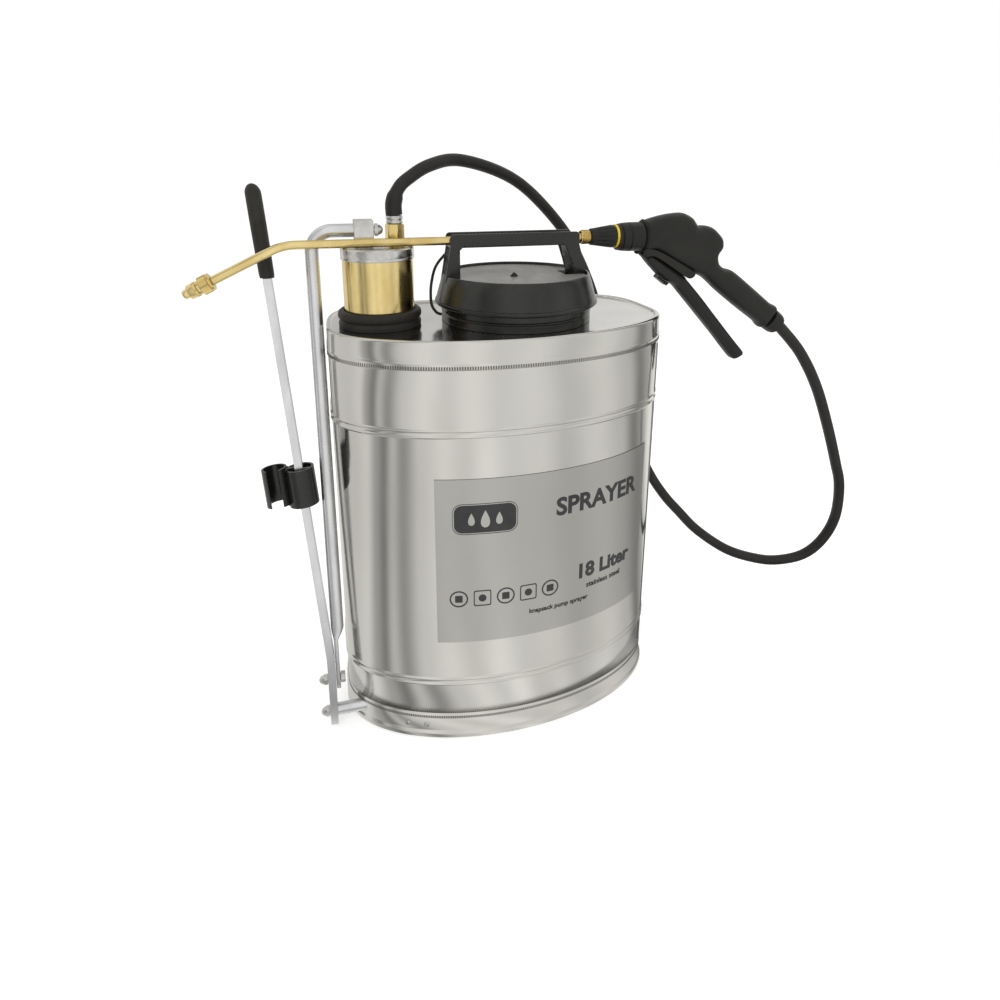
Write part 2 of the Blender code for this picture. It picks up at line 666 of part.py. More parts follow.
def makeClip():
    """A moulded double clip: one ring grips the bar, and a smaller jaw holds a lance."""
    x = leverAt(CLIP_CENTRE)
    slope = (0.0, -math.atan(LEVER_SPLAY), 0.0)
    place = Vector((x, 0.0, CLIP_CENTRE))

    def local(shape, across, depth):
        shape.rotation_euler = slope
        shape.location = place + Vector((across, depth, -across * LEVER_SPLAY))
        return shape

    tall = CLIP_HEIGHT + 0.02
    clip = local(cylinder("lance_clip", CLIP_RADIUS, CLIP_HEIGHT, place, sides=28), 0.0, 0.0)
    jaw = local(cylinder("jawOuter", JAW_RADIUS, CLIP_HEIGHT, place, sides=28),
                -JAW_OFFSET, 0.0)
    bridge = local(box("jawBridge", (0.0060, 0.0100, CLIP_HEIGHT), place), -0.0128, 0.0)
    join(clip, bridge, jaw)
    hollow = local(cylinder("ringInner", CLIP_RADIUS - CLIP_WALL, tall, place, sides=28),
                   0.0, 0.0)
    jawHollow = local(cylinder("jawInner", JAW_RADIUS - CLIP_WALL + 0.0004, tall, place,
                               sides=28), -JAW_OFFSET, 0.0)
    mouth = local(box("jawMouth", (0.0110, 0.0200, tall), place), -JAW_OFFSET - 0.0010,
                  -0.0120)
    cut(clip, hollow, jawHollow, mouth)
    reach = CLIP_RADIUS - CLIP_WALL - LEVER_THICKNESS / 2 - GAP + 0.0010
    for side in (-1, 1):
        across = side * (LEVER_THICKNESS / 2 + GAP + reach / 2)
        pad = local(box("clipPad%d" % (side + 1), (reach, 0.0040, CLIP_HEIGHT * 0.98),
                        place), across, 0.0)
        join(clip, pad)
    finish(clip, "blackPlastic", "leverAnchor")


# ---------------------------------------------------------------- pump
def makePump():
    x, y = PUMP_X, PUMP_Y
    outer, inner = CHAMBER_RADIUS, CHAMBER_RADIUS - CHAMBER_WALL
    wall = [(outer, CHAMBER_TOP), (outer, CHAMBER_BOTTOM + 0.002),
            (outer - 0.002, CHAMBER_BOTTOM), (PISTON_TUBE_RADIUS + GAP, CHAMBER_BOTTOM),
            (PISTON_TUBE_RADIUS + GAP, CHAMBER_BOTTOM + CHAMBER_WALL),
            (inner, CHAMBER_BOTTOM + CHAMBER_WALL + 0.001), (inner, CHAMBER_TOP)]
    finish(turned("air_chamber", wall, (x, y, 0.0), steps=48, closed=True), "brass",
           "pumpAnchor")

    low = CHAMBER_TOP + GAP
    cap = [(0.0, CAP_TOP), (outer - 0.0020, CAP_TOP), (outer + 0.0005, CAP_TOP - 0.0006),
           (outer + 0.0012, CAP_TOP - 0.0018), (outer + 0.0012, CHAMBER_TOP - 0.0012),
           (outer + GAP, CHAMBER_TOP - 0.0012), (outer + GAP, low), (0.0, low)]
    lidPlate = turned("chamber_cap", cap, (x, y, 0.0), steps=48)
    cut(lidPlate, cylinder("fittingHole", 0.0060 + GAP, 0.05,
                           (FITTING_X, FITTING_Y, CHAMBER_TOP)))
    finish(lidPlate, "brightSteel", "pumpAnchor")

    rise = COLLAR_HEIGHT + RIM
    bore = outer + GAP
    collar = [(bore + 0.0030, rise), (COLLAR_RADIUS - 0.0008, rise - 0.0010),
              (COLLAR_RADIUS, rise - 0.0028), (COLLAR_RADIUS, rise - 0.0070),
              (COLLAR_RADIUS - 0.0016, rise - 0.0084), (COLLAR_RADIUS - 0.0022, rise - 0.0098),
              (COLLAR_RADIUS - 0.0006, rise - 0.0118), (COLLAR_RADIUS - 0.0010, DECK + GAP),
              (bore + 0.0028, DECK + GAP), (bore + 0.0028, DECK - 0.0100),
              (bore + 0.0004, DECK - 0.0100), (bore, DECK - 0.0096), (bore, rise - 0.0016)]
    finish(turned("pump_collar", collar, (x, y, 0.0), steps=48, closed=True), "rubber",
           "tankAnchor")

    across = (BRACKET_LENGTH, BRACKET_DEPTH, 0.0240)
    bracket = box("link_bracket", across, (BRACKET_X, ROD_Y, CAP_TOP + GAP + 0.0120))
    cut(bracket, cylinder("bracketEye", ROD_RADIUS + GAP, 0.05, (BRACKET_X, ROD_Y, ROD_Z),
                          "x"))
    finish(bracket, "brightSteel", "pumpAnchor")

    base = CAP_TOP + GAP
    hexagon = cylinder("hose_fitting", FITTING_RADIUS, FITTING_HEIGHT,
                       (FITTING_X, FITTING_Y, base + FITTING_HEIGHT / 2), sides=6)
    shank = cylinder("fittingShank", 0.0060, 0.0260,
                     (FITTING_X, FITTING_Y, base - 0.0120), sides=20)
    join(hexagon, shank)
    cut(hexagon, cylinder("fittingBore", 0.0030, 0.09, (FITTING_X, FITTING_Y, base)))
    finish(hexagon, "brass", "pumpAnchor")
    start = base + FITTING_HEIGHT + GAP
    ferrule = [(FERRULE_RADIUS - 0.0012, start + FERRULE_HEIGHT),
               (FERRULE_RADIUS, start + FERRULE_HEIGHT - 0.0012),
               (FERRULE_RADIUS, start + 0.0012), (FERRULE_RADIUS - 0.0012, start),
               (0.0040, start), (0.0040, start + FERRULE_HEIGHT)]
    finish(turned("hose_ferrule", ferrule, (FITTING_X, FITTING_Y, 0.0), steps=28,
                  closed=True), "brightSteel", "pumpAnchor")

    riserTop = base - 0.0250 - GAP
    riserBottom = CHAMBER_BOTTOM + 0.0120
    riser = [(0.0050, riserTop), (0.0050, riserBottom), (0.0038, riserBottom),
             (0.0038, riserTop)]
    finish(turned("riser_tube", riser, (FITTING_X, FITTING_Y, 0.0), steps=16,
                  closed=True), "brass", "pumpAnchor")


def makePumpInside():
    x, y = PUMP_X, PUMP_Y
    radius = PISTON_TUBE_RADIUS
    top = CHAMBER_BOTTOM + 0.0120
    bottom = PISTON_BOTTOM + PISTON_LENGTH + GAP
    tube = [(radius, top), (radius, bottom), (radius - 0.0012, bottom),
            (radius - 0.0012, top)]
    finish(turned("piston_tube", tube, (x, y, 0.0), steps=20, closed=True), "brass",
           "pumpAnchor")
    bore = BARREL_RADIUS - BARREL_WALL
    low, high = PISTON_BOTTOM, PISTON_BOTTOM + PISTON_LENGTH
    groove = bore - 0.0026
    piston = [(bore - 0.0006, high), (bore - 0.0006, high - 0.0045),
              (groove, high - 0.0045), (groove, low + 0.0045),
              (bore - 0.0006, low + 0.0045), (bore - 0.0006, low), (0.0030, low),
              (0.0030, high)]
    finish(turned("piston", piston, (x, y, 0.0), steps=24, closed=True), "brass",
           "pumpAnchor")
    seal = [(bore - GAP, high - 0.0045 - GAP), (bore - GAP, low + 0.0045 + GAP),
            (groove + GAP, low + 0.0045 + GAP), (groove + GAP, high - 0.0045 - GAP)]
    finish(turned("piston_seal", seal, (x, y, 0.0), steps=24, closed=True), "rubber",
           "pumpAnchor")
    barrel = [(BARREL_RADIUS, BARREL_TOP), (BARREL_RADIUS, BARREL_BOTTOM),
              (bore, BARREL_BOTTOM), (bore, BARREL_TOP)]
    finish(turned("pump_barrel", barrel, (x, y, 0.0), steps=28, closed=True), "brass",
           "tankAnchor")
    rise = BARREL_TOP + GAP
    guide = [(BARREL_RADIUS + 0.0014, rise + 0.0050), (BARREL_RADIUS + 0.0014, BARREL_TOP - 0.0060),
             (BARREL_RADIUS + GAP, BARREL_TOP - 0.0060), (BARREL_RADIUS + GAP, rise),
             (radius + GAP, rise), (radius + GAP, rise + 0.0050)]
    finish(turned("barrel_guide", guide, (x, y, 0.0), steps=28, closed=True), "brass",
           "tankAnchor")
    seat = BARREL_BOTTOM - GAP
    floor = FLOOR_RISE + GAP
    foot = [(BARREL_RADIUS + 0.0022, seat + 0.0060), (BARREL_RADIUS + 0.0022, floor + 0.0020),
            (BARREL_RADIUS + 0.0060, floor + 0.0020), (BARREL_RADIUS + 0.0060, floor),
            (0.0035, floor), (0.0035, floor + 0.0040), (0.0060, floor + 0.0075),
            (0.0060, seat), (BARREL_RADIUS + GAP, seat), (BARREL_RADIUS + GAP, seat + 0.0060)]
    housing = turned("foot_valve", foot, (x, y, 0.0), steps=28, closed=True)
    for index in range(4):
        angle = math.radians(45 + 90 * index)
        port = box("inletPort%d" % index, (0.0200, 0.0050, 0.0030),
                   (x + 0.0150 * math.cos(angle), y + 0.0150 * math.sin(angle),
                    floor + 0.0010), (0.0, 0.0, angle))
        cut(housing, port)
    finish(housing, "brass", "tankAnchor")
    ball = bmesh.new()
    bmesh.ops.create_uvsphere(ball, u_segments=14, v_segments=8, radius=0.0045)
    finish(fromBmesh("valve_ball", ball, (x, y, floor + 0.0077)), "brightSteel",
           "tankAnchor")


# ---------------------------------------------------------------- link rod
def makeRod():
    drop = ROD_LENGTH
    half = TANG_THICKNESS / 2
    path = [(BRACKET_X + BRACKET_LENGTH / 2 + 0.0008, 0.0, 0.0)]
    path += [(ROD_X + ROD_BEND + ROD_BEND * math.cos(math.radians(angle)), 0.0,
              -ROD_BEND + ROD_BEND * math.sin(math.radians(angle)))
             for angle in np.linspace(90, 180, 8)]
    path += [(ROD_X, 0.0, -drop + TANG_LENGTH + 0.0030), (ROD_X, 0.0, -drop + TANG_LENGTH)]
    rod = solid(wire("link_rod", path, ROD_RADIUS, 3))
    tangX = LEVER_INNER + 0.0006 + half
    tang = box("rodTang", (TANG_THICKNESS, 0.0130, TANG_LENGTH + 0.0220),
               (tangX, 0.0, -drop + TANG_LENGTH / 2 - 0.0010))
    join(rod, tang)
    cut(rod, cylinder("linkHole", LINK_BOLT_RADIUS + GAP, 0.03, (tangX, 0.0, -drop), "x"))
    finish(rod, "galvanised", "rodAnchor")

    shank = TANG_THICKNESS + 0.0002
    bolt = cylinder("link_bolt", 0.0056, 0.0045, (tangX + half + GAP + 0.00225, 0.0, -drop),
                    "x", 6)
    pin = cylinder("boltShank", LINK_BOLT_RADIUS, shank + 0.001,
                   (tangX + half + GAP - shank / 2 + 0.0003, 0.0, -drop), "x", 16)
    join(bolt, pin)
    finish(bolt, "brightSteel", "rodAnchor")
    nut = acornNut("rod_nut", 0.0062, 0.0090)
    nut.rotation_euler = (0.0, 0.0, math.pi)
    nut.location = (BRACKET_X + BRACKET_LENGTH / 2 + 0.0008 + GAP, 0.0, 0.0)
    finish(nut, "brightSteel", "rodAnchor")


# ---------------------------------------------------------------- filler and lid
def makeFiller():
    outer, bore = NECK_RADIUS, NECK_BORE
    step = LID_BOTTOM - 0.0012
    crown = LID_BOTTOM + 0.0128
    neck = [(0.0700, crown), (0.0705, crown - 0.0010), (0.0705, step), (outer, step),
            (outer, step - 0.0060), (outer - 0.0016, step - 0.0070),
            (outer - 0.0004, step - 0.0080), (outer, DECK + GAP), (bore + 0.0040, DECK + GAP),
            (bore + 0.0040, DECK - 0.0120), (bore, DECK - 0.0120), (bore, crown)]
    finish(turned("filler_neck", neck, (LID_X, LID_Y, 0.0), steps=48, closed=True),
           "blackPlastic", "tankAnchor")
    radius = bore - 0.0008
    seat = crown + GAP
    floor = seat - BASKET_DEPTH
    wall = 0.0014
    basket = [(0.0, floor + wall), (radius - 0.0050 - wall, floor + wall),
              (radius - wall, seat + 0.0018), (bore + 0.0060, seat + 0.0018),
              (bore + 0.0060, seat), (radius, seat), (radius - 0.0050, floor),
              (0.0, floor)]
    cup = turned("filter_basket", basket, (LID_X, LID_Y, 0.0), steps=36)
    windows = 8
    for index in range(windows):
        angle = 2 * math.pi * index / windows
        window = box("basketWindow%d" % index, (0.0200, 0.0240, BASKET_DEPTH * 0.62),
                     (LID_X + radius * math.cos(angle), LID_Y + radius * math.sin(angle),
                      floor + BASKET_DEPTH * 0.42), (0.0, 0.0, angle))
        cut(cup, window)
    finish(cup, "filterPlastic", "tankAnchor")


def handleOutline():
    """The arch seen from the front: two splayed legs and the grip between them."""
    foot = LID_TOP - 0.0072
    top, under = HANDLE_Z, HANDLE_Z - HANDLE_DEPTH
    left, right = HANDLE_LEFT, HANDLE_RIGHT
    corner = 0.0035
    outline = [(left - LEFT_SPREAD, foot), (left, under)]
    outline += arc((left + corner, top - corner), corner, 180, 90, 4)
    outline += arc((right - corner, top - corner), corner, 90, 0, 4)
    outline += [(right, under), (right + RIGHT_SPREAD, foot),
                (right + RIGHT_SPREAD - RIGHT_LEG, foot), (right - RIGHT_LEG, under),
                (left + LEFT_LEG, under), (left + LEFT_LEG, foot)]
    return outline


def makeLid():
    x, y = LID_X, LID_Y
    top, bottom = LID_TOP, LID_BOTTOM
    slope = (LID_RADIUS - LID_TOP_RADIUS) / LID_HEIGHT
    disc = top - 0.0028
    ledge = disc - 0.0030
    inside = LID_TOP_RADIUS - LID_WALL

    def outerAt(height):
        return LID_RADIUS - slope * (height - bottom)

    skirt = [(LID_TOP_RADIUS - 0.0008, top), (LID_TOP_RADIUS, top - 0.0006),
             (outerAt(bottom + 0.0030), bottom + 0.0030), (LID_RADIUS, bottom + 0.0014),
             (LID_RADIUS - 0.0010, bottom), (LID_RADIUS - LID_WALL, bottom),
             (outerAt(ledge - 0.0030) - LID_WALL, ledge - 0.0030),
             (0.0520, ledge - 0.0030), (0.0520, ledge - GAP),
             (inside, ledge - GAP), (inside, top)]
    shell = turned("lid_shell", skirt, (x, y, 0.0), steps=48, closed=True)
    arch = plate("lidArch", handleOutline(), HANDLE_WIDTH, (0.0, LID_Y, 0.0),
                 (math.pi / 2, 0.0, 0.0))
    channel = box("handleChannel", (0.20, HANDLE_WIDTH - 2 * HANDLE_WALL, 0.04),
                  ((HANDLE_LEFT + HANDLE_RIGHT) / 2, LID_Y,
                   LANCE_Z - LANCE_RADIUS - GAP + 0.02))
    cut(arch, channel)
    join(shell, arch)
    finish(shell, "blackPlastic", "lidAnchor")

    plateTop = turned("lid_disc", [(0.0, disc), (inside - GAP, disc),
                                   (inside - GAP, ledge), (0.0, ledge)], (x, y, 0.0),
                      steps=40)
    for name, low, high in (
            ("leftLegSlot", HANDLE_LEFT - 0.03, HANDLE_LEFT + LEFT_LEG + GAP),
            ("rightLegSlot", HANDLE_RIGHT - RIGHT_LEG - GAP, HANDLE_RIGHT + 0.04)):
        slot = box(name, (high - low, HANDLE_WIDTH + 2 * GAP, 0.02),
                   ((low + high) / 2, LID_Y, disc))
        cut(plateTop, slot)
    breatherX, breatherY = LID_X - 0.0050, LID_Y - 0.0110
    cut(plateTop, cylinder("breatherHole", 0.0022 + GAP, 0.02,
                           (breatherX, breatherY, disc), sides=16))
    finish(plateTop, "greyPlastic", "lidAnchor")
    nub = [(0.0, disc + 0.0032), (0.0018, disc + 0.0024), (0.0030, disc + GAP),
           (0.0022, disc + GAP), (0.0022, ledge + GAP), (0.0, ledge + GAP)]
    finish(turned("breather_valve", nub, (breatherX, breatherY, 0.0), steps=16), "rubber",
           "lidAnchor")
    sealTop = ledge - 0.0030 - GAP
    sealBottom = LID_BOTTOM + 0.0128 + GAP + 0.0018 + GAP
    seal = [(0.0690, sealTop), (0.0690, sealBottom), (0.0560, sealBottom),
            (0.0560, sealTop)]
    finish(turned("lid_seal", seal, (x, y, 0.0), steps=40, closed=True), "rubber",
           "lidAnchor")


# ---------------------------------------------------------------- lance
def lancePath():
    """Straight through the handle's channel, then a bend down to the nozzle."""
    start = NUT_START - 0.0040
    path = [(start, 0.0, 0.0), (0.02, 0.0, 0.0)]
    for angle in np.linspace(0.0, LANCE_BEND_ANGLE, 9):
        path.append((LANCE_BEND_X - LANCE_BEND_RADIUS * math.sin(angle), 0.0,
                     -LANCE_BEND_RADIUS * (1 - math.cos(angle))))
    last = path[-1]
    path.append((last[0] - LANCE_TIP_RUN * math.cos(LANCE_BEND_ANGLE), 0.0,
                 last[2] - LANCE_TIP_RUN * math.sin(LANCE_BEND_ANGLE)))
    return path


def alongTip(run):
    """A point on the nozzle's axis, past the end of the lance tube."""
    last = lancePath()[-1]
    return (last[0] - run * math.cos(LANCE_BEND_ANGLE), LANCE_Y,
            LANCE_Z + last[2] - run * math.sin(LANCE_BEND_ANGLE))


TIP_TURN = (0.0, -math.pi / 2 - LANCE_BEND_ANGLE, 0.0)


def makeLance():
    path = lancePath()
    tube = wire("lance_tube", path, LANCE_RADIUS, 3, (0.0, LANCE_Y, LANCE_Z))
    finish(solid(tube), "brass", "gunAnchor")
    union = [(0.0, 0.0130), (0.0058, 0.0130), (0.0058, 0.0105), (0.0084, 0.0098),
             (0.0084, 0.0008), (0.0076, 0.0), (0.0, 0.0)]
    finish(turned("nozzle_union", union, alongTip(GAP), TIP_TURN, 24), "brass", "gunAnchor")
    cap = [(0.0, 0.0088), (0.0062, 0.0088), (0.0070, 0.0080), (0.0070, 0.0008),
           (0.0064, 0.0), (0.0, 0.0)]
    finish(turned("nozzle_cap", cap, alongTip(0.0130 + 2 * GAP), TIP_TURN, 24), "brass",
           "gunAnchor")
    tip = [(0.0, 0.0050), (0.0034, 0.0050), (0.0042, 0.0042), (0.0042, 0.0), (0.0, 0.0)]
    finish(turned("nozzle_tip", tip, alongTip(0.0218 + 3 * GAP), TIP_TURN, 20), "brass",
           "gunAnchor")
    length = 0.0100
    sleeve = [(0.0062, length), (0.0074, length - 0.001), (0.0074, 0.0024), (0.0062, 0.0012),
              (0.0062, 0.0), (LANCE_RADIUS + GAP, 0.0), (LANCE_RADIUS + GAP, length)]
    place = (NUT_START - GAP - length, LANCE_Y, LANCE_Z)
    finish(turned("lance_fitting", sleeve, place, (0.0, math.pi / 2, 0.0), 24,
                  closed=True), "brass", "gunAnchor")


# ---------------------------------------------------------------- spray gun
def gunOutline():
    """The gun seen from the front, measured from the lance's axis."""
    top = [(0.1485, 0.0138), (0.1541, 0.0160), (0.1660, 0.0190), (0.1778, 0.0212),
           (0.1880, 0.0222), (0.1955, 0.0219), (0.2046, 0.0177), (0.2090, 0.0130),
           (0.2124, 0.0086), (0.2190, 0.0088), (0.2254, 0.0080), (0.2310, 0.0058),
           (0.2349, 0.0028), (0.2400, -0.0020), (0.2430, -0.0066), (0.2439, -0.0137),
           (0.2420, -0.0185), (0.2391, -0.0224), (0.2390, -0.0270), (0.2413, -0.0323),
           (0.2480, -0.0370)]
    start = handleSpot(0.0310, 0.0142)
    end = handleSpot(HANDLE_END - 0.0160, 0.0125)
    underEnd = handleSpot(HANDLE_END - 0.0160, -0.0125)
    underStart = handleSpot(0.0050, -0.0108)
    under = [(0.2096, -0.0410), (0.2040, -0.0377), (0.1650, -0.0170), (0.1485, -0.0160)]
    return top + [start, end, underEnd, underStart] + under


def handleSpot(run, side):
    """A point by the handle's axis: run along it from the elbow, side across it."""
    elbow = (0.2262, -0.0345)
    return (elbow[0] + run * math.cos(HANDLE_ANGLE) - side * math.sin(HANDLE_ANGLE),
            elbow[1] + run * math.sin(HANDLE_ANGLE) + side * math.cos(HANDLE_ANGLE))


TRIGGER_PIVOT = (0.1585, -0.0120)


def makeGun():
    x, y, z = 0.0, LANCE_Y, LANCE_Z
    half = GUN_THICKNESS / 2
    for name, side in (("gun_shell_front", -1), ("gun_shell_back", 1)):
        shell = plate(name, gunOutline(), half - GAP, (x, y + side * (half + GAP) / 2, z),
                      (math.pi / 2, 0.0, 0.0))
        cut(shell,
            box(name + "Pocket", (0.0360, 0.0100, 0.0200),
                (TRIGGER_PIVOT[0] + 0.004, y, z + TRIGGER_PIVOT[1] - 0.0035)),
            cylinder(name + "PinHole", 0.0016 + GAP, 0.018,
                     (TRIGGER_PIVOT[0], y, z + TRIGGER_PIVOT[1]), "y", 16),
            cylinder(name + "Bore", 0.0062 + GAP, 0.060, (0.170, y, z + 0.0040), "x", 20))
        tubeStart, tubeEnd = handleSpot(0.004, 0.0), handleSpot(HANDLE_END, 0.0)
        middle = ((tubeStart[0] + tubeEnd[0]) / 2, y, z + (tubeStart[1] + tubeEnd[1]) / 2)
        tunnel = cylinder(name + "Tunnel", 0.0050 + GAP, HANDLE_END - 0.004, middle)
        tunnel.rotation_euler = (0.0, math.pi / 2 - HANDLE_ANGLE, 0.0)
        cut(shell, tunnel)
        finish(shell, "gunPlastic", "gunAnchor")
    tube = cylinder("handle_tube", 0.0050, HANDLE_END - 0.0246, (0.0, 0.0, 0.0), sides=20)
    low, high = handleSpot(0.0060, 0.0), handleSpot(HANDLE_END - 0.0186, 0.0)
    tube.location = ((low[0] + high[0]) / 2, y, z + (low[1] + high[1]) / 2)
    tube.rotation_euler = (0.0, math.pi / 2 - HANDLE_ANGLE, 0.0)
    finish(tube, "brass", "gunAnchor")
    finish(cylinder("valve_body", 0.0062, 0.050, (0.1740, y, z + 0.0040), "x", 20), "brass",
           "gunAnchor")
    finish(cylinder("trigger_pin", 0.0016, 0.0170,
                    (TRIGGER_PIVOT[0], y, z + TRIGGER_PIVOT[1]), "y", 16), "brightSteel",
           "gunAnchor")
    cap = [(0.0088, 0.0), (0.0112, -0.0010), (0.0125, -0.0030), (0.0125, -0.0155),
           (0.0040, -0.0155), (0.0040, 0.0)]
    spot = handleSpot(HANDLE_END, 0.0)
    finish(turned("gun_end_cap", cap, (spot[0], y, z + spot[1]),
                  (0.0, math.pi / 2 - HANDLE_ANGLE, 0.0), 28, closed=True), "gunPlastic",
           "gunAnchor")

    nut = [(LANCE_RADIUS + 0.0006, NUT_END), (0.0112, NUT_END), (0.0114, NUT_END - 0.003),
           (0.0098, NUT_START + 0.004), (0.0082, NUT_START), (LANCE_RADIUS + 0.0006, NUT_START)]
    profile = [(radius, height - NUT_START) for radius, height in nut]
    finish(turned("lance_nut", profile[1:] + profile[:1], (NUT_START, y, z),
                  (0.0, math.pi / 2, 0.0), 32, closed=True), "gunPlastic", "gunAnchor")
    ring = [(0.0118, 0.0024), (0.0118, 0.0), (LANCE_RADIUS + 0.0006, 0.0),
            (LANCE_RADIUS + 0.0006, 0.0024)]
    finish(turned("marker_ring", ring, (NUT_END + GAP, y, z), (0.0, math.pi / 2, 0.0), 28,
                  closed=True), "yellowPlastic", "gunAnchor")
    start = NUT_END + 0.0024 + 2 * GAP
    collar = [(0.0, 0.1485 - GAP - start), (0.0146, 0.1485 - GAP - start), (0.0142, 0.0025),
              (0.0132, 0.0), (0.0, 0.0)]
    finish(turned("gun_collar", collar, (start, y, z - 0.0010), (0.0, math.pi / 2, 0.0), 32),
           "gunPlastic", "gunAnchor")


def makeTrigger():
    y, z = LANCE_Y, LANCE_Z
    clearance = TRIGGER_TRAVEL_CLEARANCE
    outline = [(0.1490, -0.0172 - clearance), (0.1600, -0.0172 - clearance),
               (0.1650, -0.0200 - clearance), (0.2000, -0.0426 - clearance),
               (0.2040, -0.0466), (0.2213, -0.0660), (0.2530, -0.1015), (0.2813, -0.1326),
               (0.2800, -0.1365), (0.2702, -0.1400), (0.2661, -0.1370), (0.2441, -0.1120),
               (0.2127, -0.0777), (0.1905, -0.0538), (0.1860, -0.0520), (0.1700, -0.0400),
               (0.1560, -0.0252)]
    lever = plate("trigger", outline, 0.0180, (0.0, y, z), (math.pi / 2, 0.0, 0.0))
    tongue = box("triggerTongue", (0.0110, 0.0080, 0.0150),
                 (TRIGGER_PIVOT[0] + 0.001, y, z + TRIGGER_PIVOT[1] - 0.0025))
    join(lever, tongue)
    cut(lever, cylinder("triggerHole", 0.0016 + 2 * GAP, 0.03,
                        (TRIGGER_PIVOT[0], y, z + TRIGGER_PIVOT[1]), "y", 16))
    finish(lever, "gunPlastic", "gunAnchor")
    low, high = Vector((0.1700, -0.0400)), Vector((0.1860, -0.0520))
    run = math.atan2(high.y - low.y, high.x - low.x)
    middle = (low + high) / 2 + Vector((math.sin(run), -math.cos(run))) * (0.0018 + GAP)
    slider = box("lock_slider", (0.0150, 0.0100, 0.0036), (middle.x, y, z + middle.y),
                 (0.0, -run, 0.0))
    finish(slider, "blackPlastic", "gunAnchor")


# ---------------------------------------------------------------- hose and lid cord
HOSE_ROUTE = [
    (-0.0985, 0.0270, 0.5128), (-0.0985, 0.0270, 0.5240), (-0.0935, 0.0288, 0.5368),
    (-0.0833, 0.0330, 0.5462), (-0.0598, 0.0450, 0.5587), (-0.0273, 0.0620, 0.5637),
    (0.0220, 0.0850, 0.5517), (0.0615, 0.1020, 0.5299), (0.1061, 0.1180, 0.4883),
    (0.1294, 0.1250, 0.4544), (0.1521, 0.1280, 0.4075), (0.1764, 0.1300, 0.3374),
    (0.2014, 0.1300, 0.2607), (0.2212, 0.1280, 0.2027), (0.2439, 0.1200, 0.1538),
    (0.2603, 0.1080, 0.1263), (0.2771, 0.0980, 0.1060), (0.3006, 0.0850, 0.0805),
    (0.3379, 0.0700, 0.0546), (0.3752, 0.0570, 0.0428), (0.4049, 0.0480, 0.0410),
    (0.4351, 0.0380, 0.0511), (0.4549, 0.0300, 0.0756), (0.4645, 0.0240, 0.1118),
    (0.4587, 0.0190, 0.1592), (0.4433, 0.0150, 0.1966), (0.4188, 0.0100, 0.2500),
    (0.3913, 0.0065, 0.3047), (0.3620, 0.0048, 0.3480),
]
HOSE_JOINS = (10, 13)           # route points where the lengths meet, behind the tank


def smoothRoute(points, spacing):
    """A Catmull-Rom curve through the points, read at an even spacing."""
    knots = np.array(points)
    knots = np.vstack([2 * knots[0] - knots[1], knots, 2 * knots[-1] - knots[-2]])
    fine = []
    for index in range(1, len(knots) - 2):
        before, start, end, after = knots[index - 1:index + 3]
        for part in np.linspace(0.0, 1.0, 24, endpoint=False):
            fine.append(0.5 * (2 * start + (end - before) * part
                               + (2 * before - 5 * start + 4 * end - after) * part ** 2
                               + (3 * start - before - 3 * end + after) * part ** 3))
    fine.append(knots[-2])
    fine = np.array(fine)
    run = np.concatenate([[0.0], np.cumsum(np.linalg.norm(np.diff(fine, axis=0), axis=1))])
    count = max(2, int(round(run[-1] / spacing)) + 1)
    where = np.linspace(0.0, run[-1], count)
    return [tuple(np.interp(where, run, fine[:, axis]) for axis in range(3))][0], run[-1]


def makeHose():
    """The hose in three lengths that meet behind the tank."""
    end = handleSpot(HANDLE_END + GAP, 0.0)
    away = (math.cos(HANDLE_ANGLE), math.sin(HANDLE_ANGLE))
    tail = [(end[0] + away[0] * run, LANCE_Y, LANCE_Z + end[1] + away[1] * run)
            for run in (0.0100, 0.0)]
    route = HOSE_ROUTE + tail
    (xs, ys, zs), _ = smoothRoute(route, 0.0190)
    points = np.stack([xs, ys, zs], 1)
    points = np.vstack([points[:1], [route[0][:2] + (route[0][2] + 0.0060,)], points[1:-1],
                        [tail[0]], points[-1:]])
    joins = [int(np.argmin(np.linalg.norm(points - np.array(route[index]), axis=1)))
             for index in HOSE_JOINS]
    cuts = [0] + joins + [len(points) - 1]
    names = ("hose_pump_length", "hose_middle_length", "hose_gun_length")
    for name, first, last in zip(names, cuts, cuts[1:]):
        kept = points[first:last + 1].copy()
        for index, inner in ((0, 1), (-1, -2)):
            toward = kept[inner] - kept[index]
            kept[index] += toward / np.linalg.norm(toward) * GAP
        hose = solid(wire(name, [tuple(point) for point in kept], HOSE_DIAMETER / 2, 2))
        finish(hose, "hoseRubber", "tankAnchor")


LID_CORD_ROUTE = [
    (-0.0385, 0.0250, 0.4838), (-0.0500, 0.0252, 0.4740), (-0.0600, 0.0240, 0.4620),
    (-0.0650, 0.0200, 0.4480), (-0.0672, 0.0140, 0.4360), (-0.0670, 0.0090, 0.4265),
    (-0.0630, 0.0060, 0.4200), (-0.0582, 0.0050, 0.4180),
]


def makeLidCord():
    (xs, ys, zs), _ = smoothRoute(LID_CORD_ROUTE, 0.0060)
    cord = solid(wire("lid_cord", list(zip(xs, ys, zs)), 0.0014, 2))
    finish(cord, "rubber", "tankAnchor")


makeTank()
makeAxle()
makeLever()
makePump()
makePumpInside()
makeRod()
makeFiller()
makeLid()
makeLance()
makeGun()
makeTrigger()
makeHose()
makeLidCord()
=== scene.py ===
# Knapsack pump sprayer: the looks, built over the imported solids
import json
import math
import bmesh
import bpy
import numpy as np
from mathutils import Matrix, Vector
from mathutils.geometry import delaunay_2d_cdt


